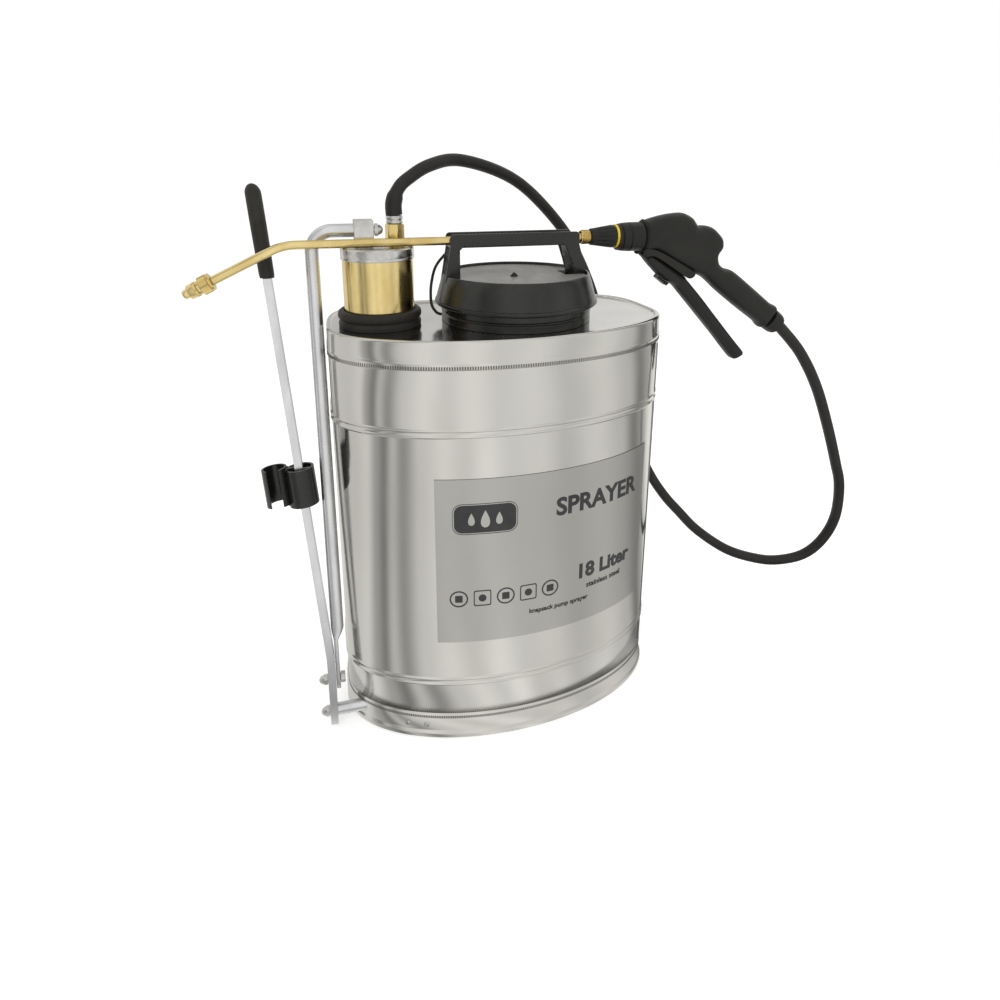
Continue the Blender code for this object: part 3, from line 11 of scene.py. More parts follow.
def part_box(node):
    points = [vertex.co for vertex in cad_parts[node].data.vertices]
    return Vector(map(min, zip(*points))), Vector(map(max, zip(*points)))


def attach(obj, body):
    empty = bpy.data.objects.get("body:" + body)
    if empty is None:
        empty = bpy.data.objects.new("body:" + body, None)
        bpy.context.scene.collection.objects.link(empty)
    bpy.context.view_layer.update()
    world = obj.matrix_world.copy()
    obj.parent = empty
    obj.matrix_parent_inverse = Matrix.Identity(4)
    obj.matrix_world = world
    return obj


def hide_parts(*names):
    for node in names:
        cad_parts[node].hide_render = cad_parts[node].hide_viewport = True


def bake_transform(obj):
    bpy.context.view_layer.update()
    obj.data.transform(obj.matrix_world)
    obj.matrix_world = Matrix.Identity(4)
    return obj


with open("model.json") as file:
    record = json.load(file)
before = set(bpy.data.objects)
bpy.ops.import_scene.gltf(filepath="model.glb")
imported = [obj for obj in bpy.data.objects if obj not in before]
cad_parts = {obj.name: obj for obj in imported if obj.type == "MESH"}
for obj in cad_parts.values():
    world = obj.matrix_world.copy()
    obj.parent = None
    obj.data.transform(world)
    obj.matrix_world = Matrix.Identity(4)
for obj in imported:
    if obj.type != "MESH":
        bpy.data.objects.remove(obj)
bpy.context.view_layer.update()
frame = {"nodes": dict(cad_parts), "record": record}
record = frame["record"]
bodyOf = {node: body for body, nodes in record["behaviour"]["bodies"].items() for node in nodes}
slotOf = {entry["node"]: entry["material_slot"] for entry in record["subparts"]}

# where the tank stands: every place below is measured from its centre
wallLow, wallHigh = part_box("tank_wall")
tank = {
    "x": (wallLow.x + wallHigh.x) / 2, "y": wallLow.y + 0.0878,
    "halfLength": 0.168, "front": 0.087, "back": 0.107, "backPower": 4.0,
}
home = np.array([tank["x"], tank["y"], 0.0])


# camera, light and floor
cameraLook = {
    "place": (-0.16654, -0.60483, 0.55681), "toward": (0.244856, 0.936089, -0.252554),
    "lens": 23.364, "shiftX": 0.0074, "shiftY": -0.1635,
}
camera = bpy.data.objects.new("camera", bpy.data.cameras.new("camera"))
bpy.context.scene.collection.objects.link(camera)
camera.location = Vector(cameraLook["place"]) + Vector(home)
camera.rotation_euler = Vector(cameraLook["toward"]).to_track_quat("-Z", "Y").to_euler()
camera.data.lens = cameraLook["lens"]
camera.data.sensor_width = 36.0
camera.data.shift_x = cameraLook["shiftX"]
camera.data.shift_y = cameraLook["shiftY"]
camera.data.clip_start = 0.01
bpy.context.scene.camera = camera
bpy.context.scene.view_settings.view_transform = "Standard"

studio = {
    "keyPower": 9.0, "fillPower": 4.0, "backPower": 3.0, "floorWhite": 0.42, "sky": 0.92,
    "floorColour": 0.84,
    # brightness by bearing, as a share of the circle with the camera's side near 0.2
    "bearings": ((0.0, 0.85), (0.040, 0.95), (0.062, 0.50), (0.078, 0.28), (0.094, 0.72),
                 (0.112, 0.40), (0.140, 0.86), (0.175, 1.08), (0.205, 0.92), (0.235, 1.12),
                 (0.270, 0.90), (0.310, 0.98), (0.350, 0.78), (0.400, 0.96), (0.450, 0.74),
                 (0.485, 0.30), (0.515, 0.50), (0.560, 1.05), (0.66, 0.95), (0.76, 0.62),
                 (0.86, 0.96), (1.0, 0.85)),
}


def areaLamp(name, place, target, size, power):
    lamp = bpy.data.lights.new(name, "AREA")
    lamp.shape = "DISK"
    lamp.size = size
    lamp.energy = power
    obj = bpy.data.objects.new(name, lamp)
    obj.location = place
    aim = Vector(target) - Vector(place)
    obj.rotation_euler = aim.to_track_quat("-Z", "Y").to_euler()
    obj.visible_glossy = False
    bpy.context.scene.collection.objects.link(obj)
    return obj


def node(tree, kind, **values):
    made = tree.nodes.new(kind)
    for name, value in values.items():
        setattr(made, name, value)
    return made


# Grey by the bearing of a direction or place round the upright axis.
def bearingRamp(tree, spot):
    around = node(tree, "ShaderNodeTexGradient", gradient_type="RADIAL")
    ramp = node(tree, "ShaderNodeValToRGB")
    stops = studio["bearings"]
    ramp.color_ramp.elements[0].position = stops[0][0]
    ramp.color_ramp.elements[1].position = stops[-1][0]
    for position, _ in stops[1:-1]:
        ramp.color_ramp.elements.new(position)
    for element, (_, value) in zip(ramp.color_ramp.elements, stops):
        element.color = (value, value * 0.993, value * 0.975, 1.0)
    ramp.color_ramp.interpolation = "EASE"
    tree.links.new(spot, around.inputs["Vector"])
    tree.links.new(around.outputs["Fac"], ramp.inputs["Fac"])
    return ramp.outputs["Color"]


def makeStudio():
    areaLamp("keyLamp", (-0.9, -1.3, 1.9), (0.0, 0.0, 0.25), 1.1, studio["keyPower"])
    areaLamp("fillLamp", (1.5, -0.7, 1.2), (0.0, 0.0, 0.25), 1.2, studio["fillPower"])
    areaLamp("backLamp", (0.3, 1.4, 1.6), (0.0, 0.0, 0.30), 1.2, studio["backPower"])
    world = bpy.data.worlds.new("studioWorld")
    bpy.context.scene.world = world
    world.use_nodes = True
    tree = world.node_tree
    tree.nodes.clear()
    spot = node(tree, "ShaderNodeTexCoord")
    room = node(tree, "ShaderNodeBackground")
    room.inputs["Strength"].default_value = studio["sky"]
    tree.links.new(bearingRamp(tree, spot.outputs["Generated"]), room.inputs["Color"])
    white = node(tree, "ShaderNodeBackground")
    white.inputs["Color"].default_value = (1.0, 1.0, 1.0, 1.0)
    path = node(tree, "ShaderNodeLightPath")
    either = node(tree, "ShaderNodeMath", operation="MAXIMUM")
    blendNode = node(tree, "ShaderNodeMixShader")
    out = node(tree, "ShaderNodeOutputWorld")
    tree.links.new(path.outputs["Is Camera Ray"], either.inputs[0])
    tree.links.new(path.outputs["Is Transmission Ray"], either.inputs[1])
    tree.links.new(either.outputs[0], blendNode.inputs[0])
    tree.links.new(room.outputs[0], blendNode.inputs[1])
    tree.links.new(white.outputs[0], blendNode.inputs[2])
    tree.links.new(blendNode.outputs[0], out.inputs[0])

    # the floor: matt and pale with a glow to the camera, and the room's bearings to
    # whatever mirrors it
    floorMesh = bpy.data.meshes.new("floor")
    floorMesh.from_pydata([(-60, -60, 0), (60, -60, 0), (60, 60, 0), (-60, 60, 0)], [],
                          [(0, 1, 2, 3)])
    floor = bpy.data.objects.new("floor", floorMesh)
    floor.location.z = -0.0004
    bpy.context.scene.collection.objects.link(floor)
    pale = bpy.data.materials.new("paleFloor")
    pale.use_nodes = True
    tree = pale.node_tree
    shader = tree.nodes["Principled BSDF"]
    value = studio["floorColour"]
    shader.inputs["Base Color"].default_value = (value, value, value, 1.0)
    shader.inputs["Roughness"].default_value = 0.9
    shader.inputs["Specular IOR Level"].default_value = 0.0
    shader.inputs["Emission Color"].default_value = (1.0, 1.0, 1.0, 1.0)
    glow = node(tree, "ShaderNodeLightPath")
    level = node(tree, "ShaderNodeMath", operation="MULTIPLY")
    level.inputs[1].default_value = studio["floorWhite"]
    tree.links.new(glow.outputs["Is Camera Ray"], level.inputs[0])
    tree.links.new(level.outputs[0], shader.inputs["Emission Strength"])
    mirrored = node(tree, "ShaderNodeEmission")
    mirrored.inputs["Strength"].default_value = studio["sky"]
    place = node(tree, "ShaderNodeTexCoord")
    tree.links.new(bearingRamp(tree, place.outputs["Object"]), mirrored.inputs["Color"])
    choose = node(tree, "ShaderNodeMixShader")
    tree.links.new(glow.outputs["Is Glossy Ray"], choose.inputs[0])
    tree.links.new(shader.outputs[0], choose.inputs[1])
    tree.links.new(mirrored.outputs[0], choose.inputs[2])
    tree.links.new(choose.outputs[0], tree.nodes["Material Output"].inputs["Surface"])
    floorMesh.materials.append(pale)


makeStudio()
print("studio ready")


# finishes
# A node group with named inputs (name, kind, value) and outputs (name, kind).
def shaderGroup(name, inputs, outputs):
    group = bpy.data.node_groups.new(name, "ShaderNodeTree")
    for label, kind, value in inputs:
        socket = group.interface.new_socket(label, in_out="INPUT", socket_type=kind)
        if value is not None:
            socket.default_value = value
    for label, kind in outputs:
        group.interface.new_socket(label, in_out="OUTPUT", socket_type=kind)
    return group, node(group, "NodeGroupInput"), node(group, "NodeGroupOutput")


# patina: broad noise picks between two colours, finer noise sets the roughness
patina, given, result = shaderGroup("patina", [
    ("Vector", "NodeSocketVector", None), ("Light", "NodeSocketColor", (0.8, 0.8, 0.8, 1.0)),
    ("Dark", "NodeSocketColor", (0.4, 0.4, 0.4, 1.0)), ("Patch Scale", "NodeSocketFloat", 20.0),
    ("Smooth", "NodeSocketFloat", 0.2), ("Rough", "NodeSocketFloat", 0.4)],
    [("Color", "NodeSocketColor"), ("Roughness", "NodeSocketFloat")])
patch = node(patina, "ShaderNodeTexNoise")
patch.inputs["Detail"].default_value = 5.0
mixer = node(patina, "ShaderNodeMix", data_type="RGBA")
smear = node(patina, "ShaderNodeTexNoise")
smear.inputs["Detail"].default_value = 7.0
smear.inputs["Roughness"].default_value = 0.65
faster = node(patina, "ShaderNodeMath", operation="MULTIPLY")
faster.inputs[1].default_value = 2.7
spread = node(patina, "ShaderNodeMapRange")
spread.inputs["From Min"].default_value = 0.3
spread.inputs["From Max"].default_value = 0.7
contrast = node(patina, "ShaderNodeMapRange")
contrast.inputs["From Min"].default_value = 0.35
contrast.inputs["From Max"].default_value = 0.65
patina.links.new(given.outputs["Vector"], patch.inputs["Vector"])
patina.links.new(given.outputs["Vector"], smear.inputs["Vector"])
patina.links.new(given.outputs["Patch Scale"], patch.inputs["Scale"])
patina.links.new(given.outputs["Patch Scale"], faster.inputs[0])
patina.links.new(faster.outputs[0], smear.inputs["Scale"])
patina.links.new(patch.outputs[0], contrast.inputs["Value"])
patina.links.new(contrast.outputs[0], mixer.inputs[0])
patina.links.new(given.outputs["Light"], mixer.inputs[6])
patina.links.new(given.outputs["Dark"], mixer.inputs[7])
patina.links.new(smear.outputs[0], spread.inputs["Value"])
patina.links.new(given.outputs["Smooth"], spread.inputs["To Min"])
patina.links.new(given.outputs["Rough"], spread.inputs["To Max"])
patina.links.new(mixer.outputs[2], result.inputs["Color"])
patina.links.new(spread.outputs[0], result.inputs["Roughness"])

# grain: two noises added, the second eight times finer, as one height
grain, given, result = shaderGroup("grain", [
    ("Vector", "NodeSocketVector", None), ("Scale", "NodeSocketFloat", 200.0),
    ("Fine Share", "NodeSocketFloat", 0.4)], [("Height", "NodeSocketFloat")])
broad = node(grain, "ShaderNodeTexNoise")
broad.inputs["Detail"].default_value = 2.0
fine = node(grain, "ShaderNodeTexNoise")
fine.inputs["Detail"].default_value = 2.0
eight = node(grain, "ShaderNodeMath", operation="MULTIPLY")
eight.inputs[1].default_value = 8.0
share = node(grain, "ShaderNodeMath", operation="MULTIPLY")
total = node(grain, "ShaderNodeMath", operation="ADD")
grain.links.new(given.outputs["Vector"], broad.inputs["Vector"])
grain.links.new(given.outputs["Vector"], fine.inputs["Vector"])
grain.links.new(given.outputs["Scale"], broad.inputs["Scale"])
grain.links.new(given.outputs["Scale"], eight.inputs[0])
grain.links.new(eight.outputs[0], fine.inputs["Scale"])
grain.links.new(fine.outputs[0], share.inputs[0])
grain.links.new(given.outputs["Fine Share"], share.inputs[1])
grain.links.new(broad.outputs[0], total.inputs[0])
grain.links.new(share.outputs[0], total.inputs[1])
grain.links.new(total.outputs[0], result.inputs["Height"])

finishes = {
    "stainless": {"light": (0.68, 0.668, 0.635), "dark": (0.60, 0.585, 0.55), "smooth": 0.08,
                  "rough": 0.17, "metal": 1.0, "patch": 9.0, "stretch": (1.0, 1.0, 0.35),
                  "grain": 5.0, "fine": 0.02, "bump": 0.30, "depth": 0.0020},
    "deckSteel": {"light": (0.70, 0.69, 0.665), "dark": (0.62, 0.61, 0.58), "smooth": 0.07,
                  "rough": 0.17, "metal": 1.0, "patch": 12.0, "stretch": (1.0, 1.0, 1.0),
                  "grain": 14.0, "fine": 0.05, "bump": 0.25, "depth": 0.0010},
    "galvanised": {"light": (0.80, 0.81, 0.82), "dark": (0.68, 0.69, 0.70), "smooth": 0.22,
                   "rough": 0.40, "metal": 1.0, "patch": 60.0, "stretch": (1.0, 1.0, 0.3),
                   "grain": 260.0, "fine": 0.3, "bump": 0.25, "depth": 0.0003},
    "brass": {"light": (0.88, 0.71, 0.34), "dark": (0.72, 0.55, 0.22), "smooth": 0.10,
              "rough": 0.26, "metal": 1.0, "patch": 42.0, "stretch": (1.0, 1.0, 0.5),
              "grain": 330.0, "fine": 0.35, "bump": 0.12, "depth": 0.0002},
    "brightSteel": {"light": (0.70, 0.70, 0.68), "dark": (0.54, 0.53, 0.51), "smooth": 0.14,
                    "rough": 0.32, "metal": 1.0, "patch": 80.0, "stretch": (1.0, 1.0, 1.0),
                    "grain": 400.0, "fine": 0.4, "bump": 0.18, "depth": 0.0003},
    "blackPlastic": {"light": (0.009, 0.009, 0.0085), "dark": (0.016, 0.016, 0.0145),
                     "smooth": 0.20, "rough": 0.32, "metal": 0.0, "patch": 30.0,
                     "stretch": (1.0, 1.0, 1.0), "grain": 420.0, "fine": 0.5, "bump": 0.05,
                     "depth": 0.0003, "shine": 0.50},
    "gunPlastic": {"light": (0.0115, 0.0115, 0.0095), "dark": (0.018, 0.0175, 0.0145),
                   "smooth": 0.36, "rough": 0.52, "metal": 0.0, "patch": 26.0,
                   "stretch": (1.0, 1.0, 1.0), "grain": 900.0, "fine": 0.6, "bump": 0.18,
                   "depth": 0.0003, "shine": 0.30},
    "rubber": {"light": (0.015, 0.0145, 0.013), "dark": (0.028, 0.026, 0.022), "smooth": 0.42,
               "rough": 0.66, "metal": 0.0, "patch": 36.0, "stretch": (1.0, 1.0, 1.0),
               "grain": 700.0, "fine": 0.6, "bump": 0.30, "depth": 0.0003, "shine": 0.28},
    "hoseRubber": {"light": (0.0125, 0.012, 0.0105), "dark": (0.022, 0.020, 0.017),
                   "smooth": 0.36, "rough": 0.56, "metal": 0.0, "patch": 22.0,
                   "stretch": (1.0, 1.0, 1.0), "grain": 800.0, "fine": 0.5, "bump": 0.30,
                   "depth": 0.0003, "shine": 0.32},
    "greyPlastic": {"light": (0.29, 0.285, 0.27), "dark": (0.21, 0.205, 0.19), "smooth": 0.30,
                    "rough": 0.50, "metal": 0.0, "patch": 24.0, "stretch": (1.0, 0.4, 1.0),
                    "grain": 600.0, "fine": 0.5, "bump": 0.25, "depth": 0.0003},
    "yellowPlastic": {"light": (0.80, 0.66, 0.06), "dark": (0.66, 0.52, 0.04), "smooth": 0.35,
                      "rough": 0.50, "metal": 0.0, "patch": 90.0, "stretch": (1.0, 1.0, 1.0),
                      "grain": 600.0, "fine": 0.5, "bump": 0.20, "depth": 0.0002},
    "redPlastic": {"light": (0.16, 0.030, 0.022), "dark": (0.10, 0.018, 0.014), "smooth": 0.35,
                   "rough": 0.50, "metal": 0.0, "patch": 90.0, "stretch": (1.0, 1.0, 1.0),
                   "grain": 600.0, "fine": 0.5, "bump": 0.20, "depth": 0.0002},
    "foil": {"light": (0.50, 0.49, 0.468), "dark": (0.455, 0.445, 0.422), "smooth": 0.27,
             "rough": 0.31, "metal": 1.0, "patch": 10.0, "stretch": (1.0, 1.0, 0.35),
             "grain": 5.0, "fine": 0.02, "bump": 0.0, "depth": 0.0015},
    "tickSteel": {"light": (0.20, 0.195, 0.18), "dark": (0.12, 0.115, 0.105), "smooth": 0.26,
                  "rough": 0.40, "metal": 1.0, "patch": 40.0, "stretch": (1.0, 1.0, 1.0),
                  "grain": 300.0, "fine": 0.3, "bump": 0.1, "depth": 0.0002},
    "ink": {"light": (0.020, 0.020, 0.022), "dark": (0.032, 0.032, 0.034), "smooth": 0.35,
            "rough": 0.50, "metal": 0.0, "patch": 60.0, "stretch": (1.0, 1.0, 1.0),
            "grain": 900.0, "fine": 0.4, "bump": 0.05, "depth": 0.0001},
    "filterPlastic": {"light": (0.72, 0.71, 0.67), "dark": (0.62, 0.60, 0.55), "smooth": 0.40,
                      "rough": 0.55, "metal": 0.0, "patch": 30.0, "stretch": (1.0, 1.0, 1.0),
                      "grain": 500.0, "fine": 0.5, "bump": 0.25, "depth": 0.0003},
}


def makeFinish(name, look):
    made = bpy.data.materials.new(name)
    made.use_nodes = True
    tree = made.node_tree
    shader = tree.nodes["Principled BSDF"]
    shader.inputs["Metallic"].default_value = look["metal"]
    shader.inputs["Specular IOR Level"].default_value = look.get("shine", 0.5)
    shader.inputs["Base Color"].default_value = (*look["light"], 1.0)
    spot = node(tree, "ShaderNodeTexCoord")
    stretch = node(tree, "ShaderNodeMapping")
    stretch.inputs["Scale"].default_value = look["stretch"]
    colours = node(tree, "ShaderNodeGroup", node_tree=patina)
    colours.inputs["Light"].default_value = (*look["light"], 1.0)
    colours.inputs["Dark"].default_value = (*look["dark"], 1.0)
    colours.inputs["Patch Scale"].default_value = look["patch"]
    colours.inputs["Smooth"].default_value = look["smooth"]
    colours.inputs["Rough"].default_value = look["rough"]
    relief = node(tree, "ShaderNodeGroup", node_tree=grain)
    relief.inputs["Scale"].default_value = look["grain"]
    relief.inputs["Fine Share"].default_value = look["fine"]
    bump = node(tree, "ShaderNodeBump")
    bump.inputs["Strength"].default_value = look["bump"]
    bump.inputs["Distance"].default_value = look["depth"]
    tree.links.new(spot.outputs["Object"], stretch.inputs["Vector"])
    tree.links.new(stretch.outputs[0], colours.inputs["Vector"])
    tree.links.new(stretch.outputs[0], relief.inputs["Vector"])
    tree.links.new(colours.outputs["Color"], shader.inputs["Base Color"])
    tree.links.new(colours.outputs["Roughness"], shader.inputs["Roughness"])
    tree.links.new(relief.outputs["Height"], bump.inputs["Height"])
    tree.links.new(bump.outputs[0], shader.inputs["Normal"])
    return made


finish = {name: makeFinish(name, look) for name, look in finishes.items()}
finishOfSlot = {
    "stainless": "stainless", "galvanised": "galvanised", "brass": "brass",
    "bright_steel": "brightSteel", "black_plastic": "blackPlastic",
    "gun_plastic": "gunPlastic", "grey_plastic": "greyPlastic", "rubber": "rubber",
    "hose_rubber": "hoseRubber", "yellow_plastic": "yellowPlastic", "label": "foil",
    "filter_plastic": "filterPlastic",
}
print("finishes ready")


# shared shapes
# An object from points and faces, normals outward, smooth below the sharp angle.
def meshPiece(name, points, faces, sharp=35.0):
    mesh = bpy.data.meshes.new(name)
    mesh.from_pydata(np.asarray(points, float).tolist(), [], faces)
    bm = bmesh.new()
    bm.from_mesh(mesh)
    bmesh.ops.remove_doubles(bm, verts=bm.verts, dist=0.000002)
    bmesh.ops.recalc_face_normals(bm, faces=bm.faces)
    bm.to_mesh(mesh)
    bm.free()
    mesh.shade_smooth()
    mesh.set_sharp_from_angle(angle=math.radians(sharp))
    obj = bpy.data.objects.new(name, mesh)
    bpy.context.scene.collection.objects.link(obj)
    return obj


# Quads of a grid: each joins a point to its neighbours in the next row and column.
def gridFaces(rows, columns, wrapRows=False, wrapColumns=True, offset=0):
    lastRow = rows if wrapRows else rows - 1
    lastColumn = columns if wrapColumns else columns - 1
    row, column = np.meshgrid(np.arange(lastRow), np.arange(lastColumn), indexing="ij")
    nextRow, nextColumn = (row + 1) % rows, (column + 1) % columns
    quads = np.stack([row * columns + column, nextRow * columns + column,
                      nextRow * columns + nextColumn, row * columns + nextColumn], -1)
    return (quads.reshape(-1, 4) + offset).tolist()


# A closed skin over rings of points, shape (rings, points, 3), with flat end caps.
def skin(name, rings, wrapRows=False, caps=True, sharp=35.0):
    rings = np.asarray(rings, float)
    rows, columns = rings.shape[:2]
    faces = gridFaces(rows, columns, wrapRows)
    if caps and not wrapRows:
        faces.append(list(range(columns)))
        faces.append(list(range((rows - 1) * columns, rows * columns)))
    return meshPiece(name, rings.reshape(-1, 3), faces, sharp)


# Two unit vectors square to a direction, as rows with it.
def basis(direction):
    ahead = np.asarray(direction, float)
    ahead = ahead / np.linalg.norm(ahead)
    side = np.cross([0.0, 1.0, 0.0] if abs(ahead[1]) < 0.9 else [1.0, 0.0, 0.0], ahead)
    side /= np.linalg.norm(side)
    return side, np.cross(ahead, side), ahead


# A profile of (radius, run) turned about an axis; ripple scales the radius by angle.
def spun(name, profile, place, direction=(0, 0, 1), steps=96, ripple=None, closed=False,
         sharp=35.0):
    side, up, ahead = basis(direction)
    profile = np.asarray(profile, float)
    angle = np.linspace(0.0, 2 * math.pi, steps, endpoint=False)
    radius = np.repeat(profile[:, :1], steps, 1)
    if ripple is not None:
        radius = ripple(angle[None, :], radius, profile[:, 1:2])
    rings = (np.asarray(place, float) + profile[:, None, 1:2] * ahead
             + radius[..., None] * (np.cos(angle)[:, None] * side
                                    + np.sin(angle)[:, None] * up))
    return skin(name, rings, wrapRows=closed, caps=not closed, sharp=sharp)


# Ripple that holds the radius to a hexagon of a given corner radius.
def hexagon(reach, turn=0.0):
    def shape(angle, radius, run):
        within = (angle + turn) % (math.pi / 3) - math.pi / 6
        flat = reach * math.cos(math.pi / 6) / np.cos(within)
        return np.minimum(radius, flat)
    return shape


# A Catmull-Rom curve through points, read at an even spacing.
def catmull(points, spacing=0.004, closed=False):
    points = np.asarray(points, float)
    if closed:
        knots = np.vstack([points[-1:], points, points[:2]])
    else:
        knots = np.vstack([2 * points[0] - points[1], points, 2 * points[-1] - points[-2]])
    part = np.linspace(0.0, 1.0, 24, endpoint=False)[:, None]
    fine = [0.5 * (2 * b + (c - a) * part + (2 * a - 5 * b + 4 * c - d) * part ** 2
                   + (3 * b - a - 3 * c + d) * part ** 3)
            for a, b, c, d in zip(knots, knots[1:], knots[2:], knots[3:])]
    fine = np.vstack(fine + [knots[-2:-1]])
    run = np.concatenate([[0.0], np.cumsum(np.linalg.norm(np.diff(fine, axis=0), axis=1))])
    where = np.linspace(0.0, run[-1], max(3, int(round(run[-1] / spacing)) + 1))
    if closed:
        where = where[:-1]
    return np.stack([np.interp(where, run, fine[:, axis])
                     for axis in range(fine.shape[1])], 1), run[-1]


# Circles square to a path; radius may change along it. The frame is carried along with no
# twist: each side vector is the last one less its part along the path.
def tubeRings(path, radius, sides=28, flatten=None):
    path = np.asarray(path, float)
    tangent = np.gradient(path, axis=0)
    tangent /= np.linalg.norm(tangent, axis=1)[:, None]
    side = np.empty_like(path)
    side[0] = basis(tangent[0])[0]
    for index in range(1, len(path)):
        carried = side[index - 1] - tangent[index] * (side[index - 1] @ tangent[index])
        side[index] = carried / np.linalg.norm(carried)
    up = np.cross(tangent, side)
    angle = np.linspace(0.0, 2 * math.pi, sides, endpoint=False)
    radius = np.broadcast_to(radius, len(path))[:, None, None]
    wide, tall = (1.0, 1.0) if flatten is None else flatten
    return (path[:, None] + radius * (np.cos(angle)[None, :, None] * side[:, None] * wide
                                      + np.sin(angle)[None, :, None] * up[:, None] * tall))


# The tank's plan: an ellipse in front and a squarer curve behind, evenly spaced.
def ovalPlan(count, start=0.0, end=1.0):
    angle = np.linspace(0.0, 2 * math.pi, 8001)
    cosine, sine = np.cos(angle), np.sin(angle)
    power = np.where(sine < 0.0, 2.0, tank["backPower"])
    depth = np.where(sine < 0.0, tank["front"], tank["back"])
    x = tank["halfLength"] * np.sign(cosine) * np.abs(cosine) ** (2 / power)
    y = depth * np.sign(sine) * np.abs(sine) ** (2 / power)
    run = np.concatenate([[0.0], np.cumsum(np.hypot(np.diff(x), np.diff(y)))])
    where = np.linspace(start, end, count, endpoint=end - start < 1.0) * run[-1]
    points = np.stack([np.interp(where, run, x), np.interp(where, run, y)], 1)
    ahead, behind = (where + 0.0008) % run[-1], (where - 0.0008) % run[-1]
    tangent = np.stack([np.interp(ahead, run, x) - np.interp(behind, run, x),
                        np.interp(ahead, run, y) - np.interp(behind, run, y)], 1)
    tangent /= np.linalg.norm(tangent, axis=1)[:, None]
    return points, np.stack([tangent[:, 1], -tangent[:, 0]], 1), where


# Share of the plan's length at which the front crosses an X position.
def frontShare(across):
    points, _, _ = ovalPlan(6000)
    front = np.where(points[:, 1] < 0)[0]
    return front[np.argmin(np.abs(points[front, 0] - across))] / 6000


# A profile of (outward offset, height) carried round the plan: rings by profile.
def ovalRings(profile, count=400, start=0.0, end=1.0):
    points, normals, where = ovalPlan(count, start, end)
    profile = np.asarray(profile, float)
    flat = points[None] + normals[None] * profile[:, None, :1]
    height = np.repeat(profile[:, None, 1:2], count, 1)
    return np.concatenate([flat, height], 2) + home, where


# Gives a piece the finish that its node's slot calls for, and its body, and lets it stand for CAD
# nodes.
def dress(obj, nodes, look=None, body=None):
    nodes = [nodes] if isinstance(nodes, str) else list(nodes)
    obj.data.materials.clear()
    obj.data.materials.append(finish[look or finishOfSlot[slotOf[nodes[0]]]])
    if body != "blend":
        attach(obj, body or bodyOf[nodes[0]])
    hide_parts(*nodes)
    return obj


# An added detail that stands for no CAD node.
def trim(obj, look, body):
    obj.data.materials.clear()
    obj.data.materials.append(finish[look])
    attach(obj, body)
    return obj


# A merged, softened copy of a CAD node, which then stands for it.
def fromNode(nodeName, bevel=0.0, angle=35.0, look=None):
    source = frame["nodes"][nodeName]
    mesh = source.data.copy()
    bm = bmesh.new()
    bm.from_mesh(mesh)
    bmesh.ops.remove_doubles(bm, verts=bm.verts, dist=0.00002)
    bmesh.ops.dissolve_limit(bm, angle_limit=math.radians(1.0), verts=bm.verts, edges=bm.edges)
    bm.to_mesh(mesh)
    bm.free()
    mesh.shade_smooth()
    mesh.set_sharp_from_angle(angle=math.radians(angle))
    obj = bpy.data.objects.new(nodeName + "_piece", mesh)
    bpy.context.scene.collection.objects.link(obj)
    if bevel > 0.0:
        softEdge = obj.modifiers.new("softEdge", "BEVEL")
        softEdge.width = bevel
        softEdge.segments = 3
        softEdge.limit_method = "ANGLE"
        softEdge.angle_limit = math.radians(40.0)
        softEdge.use_clamp_overlap = True
    return dress(obj, nodeName, look)


# hose and lid cord
hose = {
    "diameter": 0.0125, "rootRadius": 0.0080, "rootLength": 0.016, "joins": (10, 13),
    "route": [
        (-0.0985, 0.0270, 0.5128), (-0.0985, 0.0270, 0.5240), (-0.0935, 0.0288, 0.5368),
        (-0.0833, 0.0330, 0.5462), (-0.0598, 0.0450, 0.5587), (-0.0273, 0.0620, 0.5637),
        (0.0220, 0.0850, 0.5517), (0.0615, 0.1020, 0.5299), (0.1061, 0.1180, 0.4883),
        (0.1294, 0.1250, 0.4544), (0.1521, 0.1280, 0.4075), (0.1764, 0.1300, 0.3374),
        (0.2014, 0.1300, 0.2607), (0.2212, 0.1280, 0.2027), (0.2439, 0.1200, 0.1538),
        (0.2603, 0.1080, 0.1263), (0.2771, 0.0980, 0.1060), (0.3006, 0.0850, 0.0805),
        (0.3379, 0.0700, 0.0546), (0.3752, 0.0570, 0.0428), (0.4049, 0.0480, 0.0410),
        (0.4351, 0.0380, 0.0511), (0.4549, 0.0300, 0.0756), (0.4645, 0.0240, 0.1118),
        (0.4587, 0.0190, 0.1592), (0.4433, 0.0150, 0.1966), (0.4188, 0.0100, 0.2500),
        (0.3913, 0.0065, 0.3047), (0.3620, 0.0048, 0.3480)],
}
lance = {"y": 0.0043, "z": 0.4892, "radius": 0.0040}
gripAngle = math.radians(-35.6)


# A point by the gun handle's axis: run along it from the elbow, side across it.
def gripSpot(run, side):
    return (0.2262 + run * math.cos(gripAngle) - side * math.sin(gripAngle),
            -0.0345 + run * math.sin(gripAngle) + side * math.cos(gripAngle))


